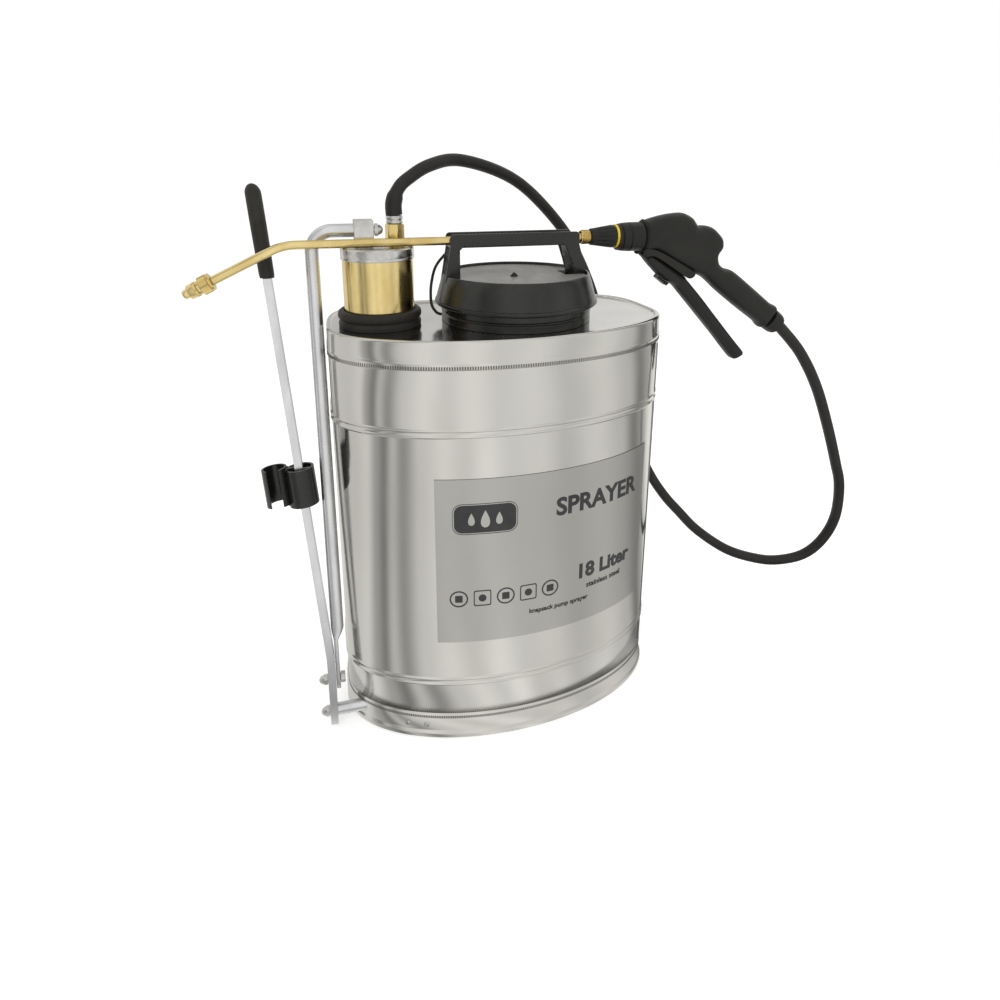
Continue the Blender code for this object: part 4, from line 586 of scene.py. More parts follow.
def makeHose():
    endX, endZ = gripSpot(0.1205, 0.0)
    away = (math.cos(gripAngle), math.sin(gripAngle))
    tail = [(endX + away[0] * run, lance["y"], lance["z"] + endZ + away[1] * run)
            for run in (0.0100, 0.0003)]
    route = np.array(hose["route"] + tail) + home
    path, length = catmull(route, 0.0035)
    run = np.linspace(0.0, length, len(path))
    root = np.clip((run - hose["rootLength"]) / 0.007, 0.0, 1.0)
    root = root * root * (3 - 2 * root)
    radius = hose["rootRadius"] + (hose["diameter"] / 2 - hose["rootRadius"]) * root
    rings = tubeRings(path, radius)
    joins = [int(np.argmin(np.linalg.norm(path - route[index], axis=1)))
             for index in hose["joins"]]
    cuts = [0] + joins + [len(path) - 1]
    lengths = (("hose_pump_length", "pump", "tank"), ("hose_middle_length", "tank", "lid"),
               ("hose_gun_length", "lid", "gun"))
    for (nodeName, near, far), first, last in zip(lengths, cuts, cuts[1:]):
        piece = skin(nodeName + "_tube", rings[first:last + 1])
        dress(piece, nodeName, body="blend")
        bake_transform(piece)
    print("hose", round(length, 3), "m")


def makeLidCord():
    route = np.array([
        (-0.0385, 0.0250, 0.4838), (-0.0500, 0.0252, 0.4740), (-0.0600, 0.0240, 0.4620),
        (-0.0650, 0.0200, 0.4480), (-0.0672, 0.0140, 0.4360), (-0.0670, 0.0090, 0.4265),
        (-0.0630, 0.0060, 0.4200), (-0.0582, 0.0050, 0.4180)]) + home
    path, length = catmull(route, 0.0012)
    cord = skin("lid_cord_piece", tubeRings(path, 0.0014, 16))
    dress(cord, "lid_cord", body="blend")
    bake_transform(cord)


makeHose()
makeLidCord()


# tank
tankLook = {
    "rim": 0.413, "deck": 0.4104, "upperSeam": 0.3873, "lowerSeam": 0.0279, "upperRib": 0.328,
    "lowerRib": 0.0662, "ribHeight": 0.0012, "ribHalf": 0.0019, "ribSpacing": 0.0058,
    "floor": 0.0365,
}


# A rounded ridge in a wall profile: a raised cosine over its width, top down.
def bump(centre, height, half, count=9):
    along = np.linspace(1.0, -1.0, count)
    return [(height * 0.5 * (1 + math.cos(math.pi * part)), centre + half * part)
            for part in along]


# A CAD node's level faces between two heights, as points and faces.
def plateFaces(nodeName, low, high):
    mesh = frame["nodes"][nodeName].data
    points = np.array([tuple(v.co) for v in mesh.vertices])
    faces = [list(p.vertices) for p in mesh.polygons
             if abs(p.normal.z) > 0.95 and low <= p.center.z <= high]
    return points, faces


def makeTank():
    look = tankLook
    ribs = []
    for centre in (look["upperRib"], look["lowerRib"]):
        for offset in (look["ribSpacing"] / 2, -look["ribSpacing"] / 2):
            ribs += bump(centre + offset, look["ribHeight"], look["ribHalf"])
    seam, low = look["upperSeam"], look["lowerSeam"]
    wall = [(-0.0013, seam + 0.005), (-0.0013, seam), (-0.0010, seam - 0.0006),
            (-0.0002, seam - 0.0013)] + ribs
    wall += [(0.0, low + 0.0003), (-0.0003, low), (-0.001, low), (-0.001, seam - 0.002),
             (-0.0023, seam - 0.0008), (-0.0023, seam + 0.005)]
    rings, _ = ovalRings(wall)
    shell = skin("tank_shell", rings, wrapRows=True, sharp=50.0)
    dress(shell, "tank_wall")

    rim, deck = look["rim"], look["deck"]
    arc = [(-0.0030 + 0.0030 * math.sin(part), rim - 0.0030 + 0.0030 * math.cos(part))
           for part in np.linspace(-1.25, math.pi / 2, 12)]
    cover = [(-0.0120, deck + 0.0001), (-0.0084, deck + 0.0001), (-0.0070, deck + 0.0003)]
    cover += arc
    cover += [(0.0, seam + 0.0080), (0.0006, seam + 0.0072), (0.0009, seam + 0.0060),
              (0.0008, seam + 0.0048), (0.0005, seam + 0.0040), (0.0005, seam + 0.0006),
              (0.0002, seam + 0.0001), (-0.0003, seam), (-0.001, seam + 0.0003)]
    cover += [(-0.001, deck - 0.0024), (-0.0028, deck - 0.0012), (-0.0120, deck - 0.001)]
    rings, _ = ovalRings(cover)
    rows, columns = rings.shape[:2]
    points, faces = plateFaces("tank_top", deck - 0.0015, deck + 0.001)
    faces = [[index + rows * columns for index in face] for face in faces]
    band = meshPiece("tank_cover", np.vstack([rings.reshape(-1, 3), points]),
                     gridFaces(rows, columns, wrapRows=True) + faces, 50.0)
    dress(band, "tank_top")
    band.data.materials.append(finish["deckSteel"])
    centres = np.array([tuple(p.center) for p in band.data.polygons])
    level = np.array([abs(p.normal.z) for p in band.data.polygons])
    flat = (level > 0.9) & (centres[:, 2] < deck + 0.0004) & (centres[:, 2] > deck - 0.0016)
    band.data.polygons.foreach_set("material_index", flat.astype(np.int32))

    rise = look["floor"]
    hem = [(0.0012 + 0.0013 * math.cos(part), 0.0029 + 0.0029 * math.sin(part))
           for part in np.linspace(1.2, -math.pi / 2, 12)]
    pan = [(-0.0130, rise), (-0.0045, rise), (-0.0021, rise - 0.0016),
           (-0.0013, rise - 0.0040), (-0.0013, low - 0.0003), (-0.0009, low - 0.0008),
           (0.0, low - 0.0016), (0.0, 0.0078)] + hem
    pan += [(-0.001, 0.0001), (-0.001, low - 0.002), (-0.0023, low - 0.0008),
            (-0.0023, rise - 0.0044), (-0.0045, rise - 0.001), (-0.0130, rise - 0.001)]
    rings, _ = ovalRings(pan)
    rows, columns = rings.shape[:2]
    points, faces = plateFaces("tank_bottom", rise - 0.0015, rise + 0.0005)
    faces = [[index + rows * columns for index in face] for face in faces]
    skirt = meshPiece("tank_pan", np.vstack([rings.reshape(-1, 3), points]),
                      gridFaces(rows, columns, wrapRows=True) + faces, 50.0)
    dress(skirt, "tank_bottom")

    # weld ticks along each seam: small raised bars at an even pitch
    for name, height, offset, count, nodeName in (
            ("seam_ticks_upper", seam + 0.0018, 0.0005, 400, "tank_top"),
            ("seam_ticks_lower", low - 0.0046, 0.0001, 400, "tank_bottom")):
        around, outward, _ = ovalPlan(count)
        tangent = np.stack([-outward[:, 1], outward[:, 0]], 1)
        corners = np.array([(-1, -1), (1, -1), (1, 1), (-1, 1)], float)
        rims = []
        for lift, wide, tall in ((-0.0001, 0.00075, 0.0015), (0.00030, 0.00035, 0.0011)):
            flat = (around[:, None] + outward[:, None] * (offset + lift)
                    + tangent[:, None] * (corners[:, 0] * wide)[None, :, None])
            rise = np.broadcast_to((height + corners[:, 1] * tall)[None, :, None],
                                   (count, 4, 1))
            rims.append(np.concatenate([flat, rise], 2))
        points = np.stack(rims, 1).reshape(-1, 3) + home
        start = np.arange(count)[:, None] * 8
        step = np.arange(4)
        sides = np.stack([start + step, start + (step + 1) % 4, start + 4 + (step + 1) % 4,
                          start + 4 + step], -1).reshape(-1, 4).tolist()
        tops = (start + 4 + step).tolist()
        ticks = meshPiece(name, points, sides + tops)
        trim(ticks, "tickSteel", "tank")
    # the wall's own upright seam, a narrow raised line at the spray gun's end
    start = frontShare(0.1560)
    line = [(0.0007, seam - 0.0030), (0.0007, low + 0.0030), (0.0001, low + 0.0030),
            (0.0001, seam - 0.0030)]
    rings, _ = ovalRings(line, 2, start, start + 0.0016)
    faces = gridFaces(4, 2, wrapRows=True, wrapColumns=False)
    faces += [[0, 2, 4, 6], [1, 3, 5, 7]]
    upright = meshPiece("wall_seam", rings.reshape(-1, 3), faces)
    trim(upright, "tickSteel", "tank")
    for index in (1, 2):
        fromNode("rivet_%d" % index, 0.0004)
    print("tank ready")


makeTank()


# front panel and its print
panel = {"left": -0.083, "right": 0.140, "low": 0.112, "high": 0.284}


# Lays points (length along the front from X = 0, height) on the tank's front.
def onTank(flat, lift):
    points, normals, where = ovalPlan(9000)
    front = points[:, 1] < 0
    points, normals, where = points[front], normals[front], where[front]
    middle = where[np.argmin(np.abs(points[:, 0]))]
    along = middle + flat[:, 0]
    x = np.interp(along, where, points[:, 0]) + np.interp(along, where, normals[:, 0]) * lift
    y = np.interp(along, where, points[:, 1]) + np.interp(along, where, normals[:, 1]) * lift
    return np.stack([x, y, flat[:, 1]], 1) + home


def wrapPiece(name, flatPoints, faces, lift):
    mesh = bpy.data.meshes.new(name)
    mesh.from_pydata(onTank(np.asarray(flatPoints, float), lift).tolist(), [], faces)
    bm = bmesh.new()
    bm.from_mesh(mesh)
    for face in bm.faces:
        face.normal_update()
        if face.normal.y > 0:
            face.normal_flip()
    bm.to_mesh(mesh)
    bm.free()
    mesh.shade_smooth()
    obj = bpy.data.objects.new(name, mesh)
    bpy.context.scene.collection.objects.link(obj)
    return trim(obj, "ink", "tank")


# Words as a fine triangle mesh, then laid on the tank's front.
def lettering(name, words, size, along, height, weight=0.0):
    curve = bpy.data.curves.new(name, "FONT")
    curve.body = words
    curve.size = size
    curve.offset = weight
    curve.resolution_u = 4
    text = bpy.data.objects.new(name, curve)
    bpy.context.scene.collection.objects.link(text)
    bpy.context.view_layer.update()
    graph = bpy.context.evaluated_depsgraph_get()
    mesh = bpy.data.meshes.new_from_object(text.evaluated_get(graph))
    points = np.array([tuple(v.co)[:2] for v in mesh.vertices]) + (along, height)
    faces = [list(p.vertices) for p in mesh.polygons]
    bpy.data.objects.remove(text, do_unlink=True)
    return wrapPiece(name, points, faces, 0.00075)


# A flat regular shape, or a ring where a hole is given.
def disc(name, along, height, radius, sides=40, turn=0.0, stretch=1.0, hole=0.0):
    angle = np.linspace(0.0, 2 * math.pi, sides, endpoint=False) + turn
    outer = np.stack([along + radius * stretch * np.cos(angle),
                      height + radius * np.sin(angle)], 1)
    if hole <= 0.0:
        rows = np.linspace(1.0, 0.02, 14)
        points = np.concatenate([(outer - (along, height)) * row + (along, height)
                                 for row in rows])
        faces = gridFaces(len(rows), sides) + [list(range((len(rows) - 1) * sides,
                                                          len(rows) * sides))]
        return wrapPiece(name, points, faces, 0.0007)
    inner = (outer - (along, height)) * hole + (along, height)
    return wrapPiece(name, np.vstack([outer, inner]), gridFaces(2, sides), 0.0007)


# An upright box outline with quarter-round corners, read every millimetre or so.
def roundedBox(along, height, half, tall, corner):
    corners = [(1, 1, 0), (-1, 1, 90), (-1, -1, 180), (1, -1, 270)]
    outline = []
    for across, up, start in corners:
        turn = np.radians(np.linspace(start, start + 90, 7))
        outline.append(np.stack([along + across * (half - corner) + corner * np.cos(turn),
                                 height + up * (tall - corner) + corner * np.sin(turn)], 1))
    outline = np.vstack(outline)
    steps = []
    for here, after in zip(outline, np.roll(outline, -1, 0)):
        count = max(1, int(np.linalg.norm(after - here) / 0.0014))
        part = np.linspace(0.0, 1.0, count, endpoint=False)[:, None]
        steps.append(here + (after - here) * part)
    # every outline is read at the same number of points, so two can be bridged
    whole = np.vstack(steps + [outline[:1]])
    run = np.concatenate([[0.0], np.cumsum(np.linalg.norm(np.diff(whole, axis=0), axis=1))])
    where = np.linspace(0.0, run[-1], 96, endpoint=False)
    return np.stack([np.interp(where, run, whole[:, axis]) for axis in (0, 1)], 1)


# Points and faces of a filled shape: the outline drawn toward its middle in rows.
def filled(outline):
    middle = outline.mean(0)
    rows = np.linspace(1.0, 0.03, 12)
    points = np.concatenate([(outline - middle) * row + middle for row in rows])
    count = len(outline)
    faces = gridFaces(len(rows), count)
    faces.append(list(range((len(rows) - 1) * count, len(rows) * count)))
    return points, faces


def makePanel():
    start, end = frontShare(panel["left"]), frontShare(panel["right"])
    profile = [(0.00055, panel["high"]), (0.00055, panel["low"]), (0.0002, panel["low"]),
               (0.0002, panel["high"])]
    rings, _ = ovalRings(profile, 160, start, end)
    rows, columns = rings.shape[:2]
    faces = gridFaces(rows, columns, wrapRows=True, wrapColumns=False)
    faces.append([row * columns for row in range(rows)])
    faces.append([row * columns + columns - 1 for row in range(rows)])
    foil = meshPiece("front_panel", rings.reshape(-1, 3), faces, 30.0)
    dress(foil, "front_label")
    # a plain dark badge with a drop in place of any mark, a plain name and the capacity
    middle, rise = -0.0375, 0.2440
    pill = roundedBox(middle, rise, 0.0290, 0.0140, 0.0075)
    wrapPiece("badge", *filled(pill), 0.00075)
    rim = roundedBox(middle, rise, 0.0306, 0.0156, 0.0089)
    edge = roundedBox(middle, rise, 0.0301, 0.0151, 0.0085)
    wrapPiece("badge_line", np.vstack([rim, edge]), gridFaces(2, len(rim)), 0.00075)
    turn = np.linspace(0.0, 2 * math.pi, 48, endpoint=False)
    for index, (across, size) in enumerate(((-0.0130, 0.72), (0.0, 1.0), (0.0130, 0.72))):
        drop = np.stack([middle + across + 0.0058 * size * np.sin(turn)
                         * np.sin(turn / 2) ** 1.2, rise + 0.0088 * size * np.cos(turn)], 1)
        drop = wrapPiece("badge_drop_%d" % index, *filled(drop), 0.00088)
        drop.data.materials[0] = finish["foil"]
    lettering("panel_name", "SPRAYER", 0.0252, 0.0315, 0.2375, 0.0008)
    lettering("panel_capacity", "18 Liter", 0.0218, 0.0555, 0.1620, 0.0008)
    lettering("panel_line", "stainless steel", 0.0082, 0.0680, 0.1490, 0.0002)
    lettering("panel_foot", "knapsack pump sprayer", 0.0068, 0.0055, 0.1360, 0.0002)
    for index in range(5):
        along = -0.0630 + 0.0225 * index
        if index % 2:
            outer = roundedBox(along, 0.1600, 0.0084, 0.0084, 0.0020)
            inner = roundedBox(along, 0.1600, 0.0074, 0.0074, 0.0014)
            wrapPiece("panel_sign_%d" % index, np.vstack([outer, inner]),
                      gridFaces(2, len(outer)), 0.00075)
            disc("panel_dot_%d" % index, along, 0.1600, 0.0038, 24)
        else:
            disc("panel_sign_%d" % index, along, 0.1600, 0.0088, 40, 0.0, 1.0, 0.84)
            dot = roundedBox(along, 0.1600, 0.0036, 0.0036, 0.0008)
            wrapPiece("panel_dot_%d" % index, *filled(dot), 0.00075)
    print("panel ready")


makePanel()


# pump
pump = {"x": -0.117, "y": 0.012, "radius": 0.0331, "top": 0.4752, "bottom": 0.2352,
        "capTop": 0.4852}


def makePump():
    centre = home + (pump["x"], pump["y"], 0.0)
    radius, top, low = pump["radius"], pump["top"], pump["bottom"]
    wall = [(radius - 0.0012, top), (radius - 0.0003, top), (radius, top - 0.0003),
            (radius, 0.44), (radius, 0.41), (radius, low + 0.002), (radius - 0.002, low),
            (0.0078, low), (0.0078, low + 0.0012), (radius - 0.0012, low + 0.0022)]
    dress(spun("air_chamber_piece", wall, centre, steps=160, closed=True), "air_chamber")
    capTop = pump["capTop"]
    ring = [(0.0002, capTop - 0.0008), (radius - 0.0052, capTop - 0.0008),
            (radius - 0.0040, capTop - 0.0002), (radius - 0.0012, capTop),
            (radius + 0.0002, capTop - 0.0003), (radius + 0.0011, capTop - 0.0014),
            (radius + 0.0012, top + 0.0020), (radius + 0.0009, top + 0.0014),
            (radius + 0.0012, top + 0.0008), (radius + 0.0012, top - 0.0008),
            (radius + 0.0009, top - 0.0012), (radius + 0.0004, top - 0.0012),
            (radius + 0.0003, top + 0.0003), (0.0002, top + 0.0003)]
    dress(spun("chamber_cap_piece", ring, centre, steps=160), "chamber_cap")
    rise, deck, bore = 0.4267, 0.4107, radius + 0.0003
    collar = [(bore, rise - 0.0014), (bore + 0.0006, rise - 0.0004), (bore + 0.0022, rise),
              (0.0374, rise - 0.0006), (0.0389, rise - 0.0018), (0.0395, rise - 0.0034),
              (0.0395, rise - 0.0060), (0.0390, rise - 0.0074), (0.0378, rise - 0.0084),
              (0.0374, rise - 0.0094), (0.0378, rise - 0.0106), (0.0388, rise - 0.0116),
              (0.0391, rise - 0.0130), (0.0388, deck), (bore + 0.0028, deck),
              (bore + 0.0028, 0.4004), (bore, 0.4004)]
    dress(spun("pump_collar_piece", collar, centre, steps=160, closed=True), "pump_collar")
    fitting = home + (-0.0985, 0.0270, 0.0)
    base = 0.4855
    brass = [(0.0030, base - 0.0250), (0.0060, base - 0.0250), (0.0060, base - 0.0001),
             (0.0088, base), (0.0094, base + 0.0007), (0.0094, base + 0.0178),
             (0.0084, base + 0.0188), (0.0064, base + 0.0190), (0.0030, base + 0.0190)]
    hexPiece = spun("hose_fitting_piece", brass, fitting, steps=120, closed=True,
                    ripple=hexagon(0.0094, 0.3), sharp=25.0)
    dress(hexPiece, "hose_fitting")
    low = base + 0.0193
    crimp = [(0.0040, low), (0.0074, low), (0.0081, low + 0.0006), (0.0082, low + 0.0018),
             (0.0077, low + 0.0027), (0.0077, low + 0.0033), (0.0082, low + 0.0042),
             (0.0082, low + 0.0062), (0.0079, low + 0.0072), (0.0070, low + 0.0075),
             (0.0040, low + 0.0075)]
    dress(spun("hose_ferrule_piece", crimp, fitting, steps=72, closed=True), "hose_ferrule")
    fromNode("link_bracket", 0.0022)
    for name in ("riser_tube", "piston_tube", "piston", "piston_seal", "pump_barrel",
                 "barrel_guide", "foot_valve", "valve_ball"):
        fromNode(name)
    print("pump ready")


makePump()


# link rod, lever and axle: places are from the tank's centre, the crank along the lever
linkage = {
    "leanDegrees": 7.0, "axle": (0.0, -0.031, 0.0158), "crank": 0.035,
    "pivot": (-0.1285, 0.0205, 0.4997), "rodX": -0.1765, "rodRadius": 0.0063,
    "bend": 0.019, "splay": 0.085, "gripFoot": 0.445, "gripLength": 0.086,
}


# A domed nut: a hexagon with a chamfer, then a dome, on a washer face.
def acorn(name, nodeName, place, direction, reach, length):
    dome = [(reach * 0.80 * math.cos(part), length * 0.45 + length * 0.55 * math.sin(part))
            for part in np.linspace(0.25, math.pi / 2 - 0.05, 8)]
    profile = [(0.0002, 0.0), (reach * 0.86, 0.0), (reach, length * 0.05),
               (reach, length * 0.38), (reach * 0.88, length * 0.46)] + dome
    nut = spun(name, profile, place, direction, 72, ripple=hexagon(reach), sharp=28.0)
    return dress(nut, nodeName)


def makeLinkage():
    lean = math.radians(linkage["leanDegrees"])
    crank, rodRadius, bend = (linkage[key] for key in ("crank", "rodRadius", "bend"))
    axle = home + linkage["axle"]
    boltAt = axle + (0.0, crank * math.sin(lean), crank * math.cos(lean))
    pivot = home + linkage["pivot"]
    along = pivot - boltAt
    along[0] = 0.0
    length = float(np.linalg.norm(along))
    along /= length
    rodX = home[0] + linkage["rodX"]
    straight = pivot[0] + 0.0098 - 0.0005
    path = [np.array([straight, 0, 0]), np.array([rodX + bend + 0.006, 0, 0])]
    for part in np.linspace(90, 180, 16):
        path.append(np.array([rodX + bend + bend * math.cos(math.radians(part)), 0,
                              -bend + bend * math.sin(math.radians(part))]))
    for drop in np.linspace(bend + 0.02, length - 0.060, 12):
        path.append(np.array([rodX, 0, -drop]))
    path = np.array(path)
    rings = tubeRings(path, rodRadius, 32)
    # foot: the round bar is hammered flat, its section going from circle to slim oblong
    last = rings[-1] - path[-1]
    foot = []
    tangX = home[0] - 0.1813 + 0.0026
    for drop in np.linspace(length - 0.056, length + 0.0120, 18):
        share = np.clip((drop - (length - 0.056)) / 0.014, 0.0, 1.0)
        share = share * share * (3 - 2 * share)
        tip = np.clip((drop - (length + 0.004)) / 0.008, 0.0, 1.0)
        wide = (rodRadius + 0.0005 * share) * math.sqrt(max(0.02, 1 - tip ** 2))
        thin = rodRadius + (0.0020 - rodRadius) * share
        flatX, flatY = last[:, 0] / rodRadius, last[:, 1] / rodRadius
        square = 1.0 - 0.55 * share
        sectionX = np.sign(flatX) * np.abs(flatX) ** square * thin
        sectionY = np.sign(flatY) * np.abs(flatY) ** square * wide
        middle = rodX + (tangX - rodX) * share
        foot.append(np.stack([middle + sectionX, sectionY, np.full(32, -drop)], 1))
    rings = np.concatenate([rings, np.array(foot)])
    lean = math.atan2(along[1], along[2])
    turned = rings.copy()
    turned[..., 1] = rings[..., 1] * math.cos(lean) + rings[..., 2] * math.sin(lean)
    turned[..., 2] = -rings[..., 1] * math.sin(lean) + rings[..., 2] * math.cos(lean)
    turned[..., 1] += pivot[1]
    turned[..., 2] += pivot[2]
    dress(skin("link_rod_piece", turned, sharp=50.0), "link_rod")
    nutLow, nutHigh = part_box("rod_nut")
    acorn("rod_nut_piece", "rod_nut", (nutLow.x, pivot[1], pivot[2]), (1, 0, 0), 0.0060,
          nutHigh.x - nutLow.x)
    linkLow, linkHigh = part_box("link_nut")
    acorn("link_nut_piece", "link_nut", (linkHigh.x, boltAt[1], boltAt[2]), (-1, 0, 0),
          0.0055, linkHigh.x - linkLow.x)
    axleLow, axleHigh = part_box("axle_nut")
    acorn("axle_nut_piece", "axle_nut", (axleHigh.x, axle[1], axle[2]), (-1, 0, 0), 0.0055,
          axleHigh.x - axleLow.x)
    fromNode("link_bolt", 0.0006)
    fromNode("lever_bar", 0.0011)
    fromNode("lance_clip", 0.0005)
    fromNode("axle_tube")
    fromNode("axle_bolt")
    fromNode("axle_bracket", 0.0004)
    print("linkage ready")


def makeGrip():
    # rubber sleeve: rounded oblong section, a small roll at its foot and a domed point
    lean, splay = math.radians(linkage["leanDegrees"]), linkage["splay"]
    axle = home + linkage["axle"]
    foot, length = linkage["gripFoot"], linkage["gripLength"]
    rings = []
    angle = np.linspace(0.0, 2 * math.pi, 40, endpoint=False)
    for part in np.concatenate([np.linspace(0.0, 0.9, 26), np.linspace(0.915, 1.0, 12)]):
        height = foot + length * part
        size = 0.0070 + 0.0005 * math.sin(part * 2.4)
        if part < 0.03:
            size *= 0.94 + 2.0 * part
        if part > 0.9:
            size *= math.sqrt(max(0.0, 1 - ((part - 0.9) / 0.1) ** 1.7))
        x = -0.18505 - splay * (height - 0.060)
        section = np.stack([x + size * 0.97 * np.cos(angle), size * 1.10 * np.sin(angle)
                            * math.cos(lean) + height * math.sin(lean),
                            height * math.cos(lean) - size * 1.10 * np.sin(angle)
                            * math.sin(lean)], 1)
        rings.append(section + axle)
    dress(skin("lever_grip_piece", np.array(rings), sharp=50.0), "lever_grip")


makeLinkage()
makeGrip()


# filler, lid and handle
lid = {"x": 0.0182, "y": 0.0100, "bottom": 0.4272, "top": 0.4563, "low": 0.0810,
       "high": 0.0728, "wall": 0.0026}


# Distance of each point to a closed outline: the least over all of its segments.
def edgeDistance(points, outline):
    start, step = outline, np.roll(outline, -1, 0) - outline
    across = points[:, None] - start[None]
    share = np.sum(across * step, 2) / np.maximum(np.sum(step * step, 1), 1e-12)
    nearest = across - np.clip(share, 0.0, 1.0)[..., None] * step
    return np.sqrt(np.min(np.sum(nearest * nearest, 2), 1))


# True where a ray to the right of a point crosses the outline an odd number of times.
def insideOf(points, outline):
    x, y = points[:, :1], points[:, 1:]
    x0, y0 = outline[:, 0], outline[:, 1]
    x1, y1 = np.roll(x0, -1), np.roll(y0, -1)
    spans = (y0 > y) != (y1 > y)
    rise = np.where(np.abs(y1 - y0) < 1e-12, 1e-12, y1 - y0)
    return np.sum(spans & (x < (x1 - x0) * (y - y0) / rise + x0), 1) % 2 == 1


# A plate in the upright plane whose faces round over toward its edge. Each face's depth is near
# + (far - near) * sqrt(1 - (1 - d / soft)^2), where d is the distance to the edge. near is the
# half thickness at the edge, far at the middle. A flat back lies at the centre plane, and the
# face then points to the sign of far.
def cushion(name, outline, y, near, far, soft, grid=0.0030, flatBack=False, smooth=0.0,
            sharp=60.0):
    outline = np.asarray(outline, float)
    if smooth > 0.0:
        outline, _ = catmull(outline, smooth, closed=True)
    else:
        fine = []
        for here, after in zip(outline, np.roll(outline, -1, 0)):
            count = max(1, int(np.linalg.norm(after - here) / 0.004))
            part = np.linspace(0.0, 1.0, count, endpoint=False)[:, None]
            fine.append(here + (after - here) * part)
        outline = np.vstack(fine)
    ahead = np.roll(outline, -1, 0) - np.roll(outline, 1, 0)
    ahead /= np.maximum(np.linalg.norm(ahead, axis=1)[:, None], 1e-9)
    area = np.sum(outline[:, 0] * np.roll(outline[:, 1], -1)
                  - np.roll(outline[:, 0], -1) * outline[:, 1])
    inward = np.stack([-ahead[:, 1], ahead[:, 0]], 1) * (1 if area > 0 else -1)
    turns = np.linspace(0.0, math.pi / 2, 9)[1:]
    rings = [outline + inward * soft * (1 - math.cos(turn)) for turn in turns]
    wanted = np.repeat([soft * (1 - math.cos(turn)) for turn in turns], len(outline))
    rings = np.vstack(rings)
    keep = insideOf(rings, outline) & (edgeDistance(rings, outline) > wanted * 0.96)
    low, high = outline.min(0), outline.max(0)
    x, z = np.meshgrid(np.arange(low[0], high[0], grid), np.arange(low[1], high[1], grid))
    inner = np.stack([x.ravel(), z.ravel()], 1)
    inner = inner[insideOf(inner, outline)]
    inner = inner[edgeDistance(inner, outline) > soft * 1.05] if len(inner) else inner
    spots = np.vstack([outline, rings[keep], inner])
    count = len(outline)
    edges = [(index, (index + 1) % count) for index in range(count)]
    points, _, faces, _, _, _ = delaunay_2d_cdt([Vector(spot) for spot in spots], edges, [],
                                                1, 0.000001, False)
    points = np.array([tuple(point) for point in points])
    total = len(points)
    corners = np.array([list(face) for face in faces])
    faces = corners[insideOf(points[corners].mean(1), outline)]
    away = edgeDistance(points, outline)
    lift = np.sqrt(np.maximum(0.0, 1 - (1 - np.minimum(away / soft, 1.0)) ** 2))
    depth = near + (far - near) * lift
    other = np.full(total, near * 0.1) if flatBack else -depth
    front = np.stack([points[:, 0], depth, points[:, 1]], 1)
    back = np.stack([points[:, 0], other, points[:, 1]], 1)
    faces = faces.tolist()
    rim = np.where(away < 1e-7)[0]
    where = {tuple(np.round(points[index], 7)): int(index) for index in rim}
    loop = [where[tuple(np.round(spot, 7))] for spot in points[:count]]
    sides = [[a, b, b + total, a + total] for a, b in zip(loop, loop[1:] + loop[:1])]
    faces += [[index + total for index in reversed(face)] for face in faces] + sides
    return meshPiece(name, np.vstack([front, back]) + home + (0.0, y, 0.0), faces, sharp)


# A plate of even thickness whose edges are rounded by soft.
def pillow(name, outline, y, half, soft, smooth=0.0025, grid=0.0040):
    return cushion(name, outline, y, half - soft, half, soft, grid=grid, smooth=smooth,
                   sharp=50.0)


# Several shapes as one piece.
def joined(name, pieces, sharp=50.0):
    points, faces = [], []
    for piece in pieces:
        start = len(points)
        points += [tuple(v.co) for v in piece.data.vertices]
        faces += [[index + start for index in p.vertices] for p in piece.data.polygons]
        bpy.data.objects.remove(piece, do_unlink=True)
    return meshPiece(name, points, faces, sharp)


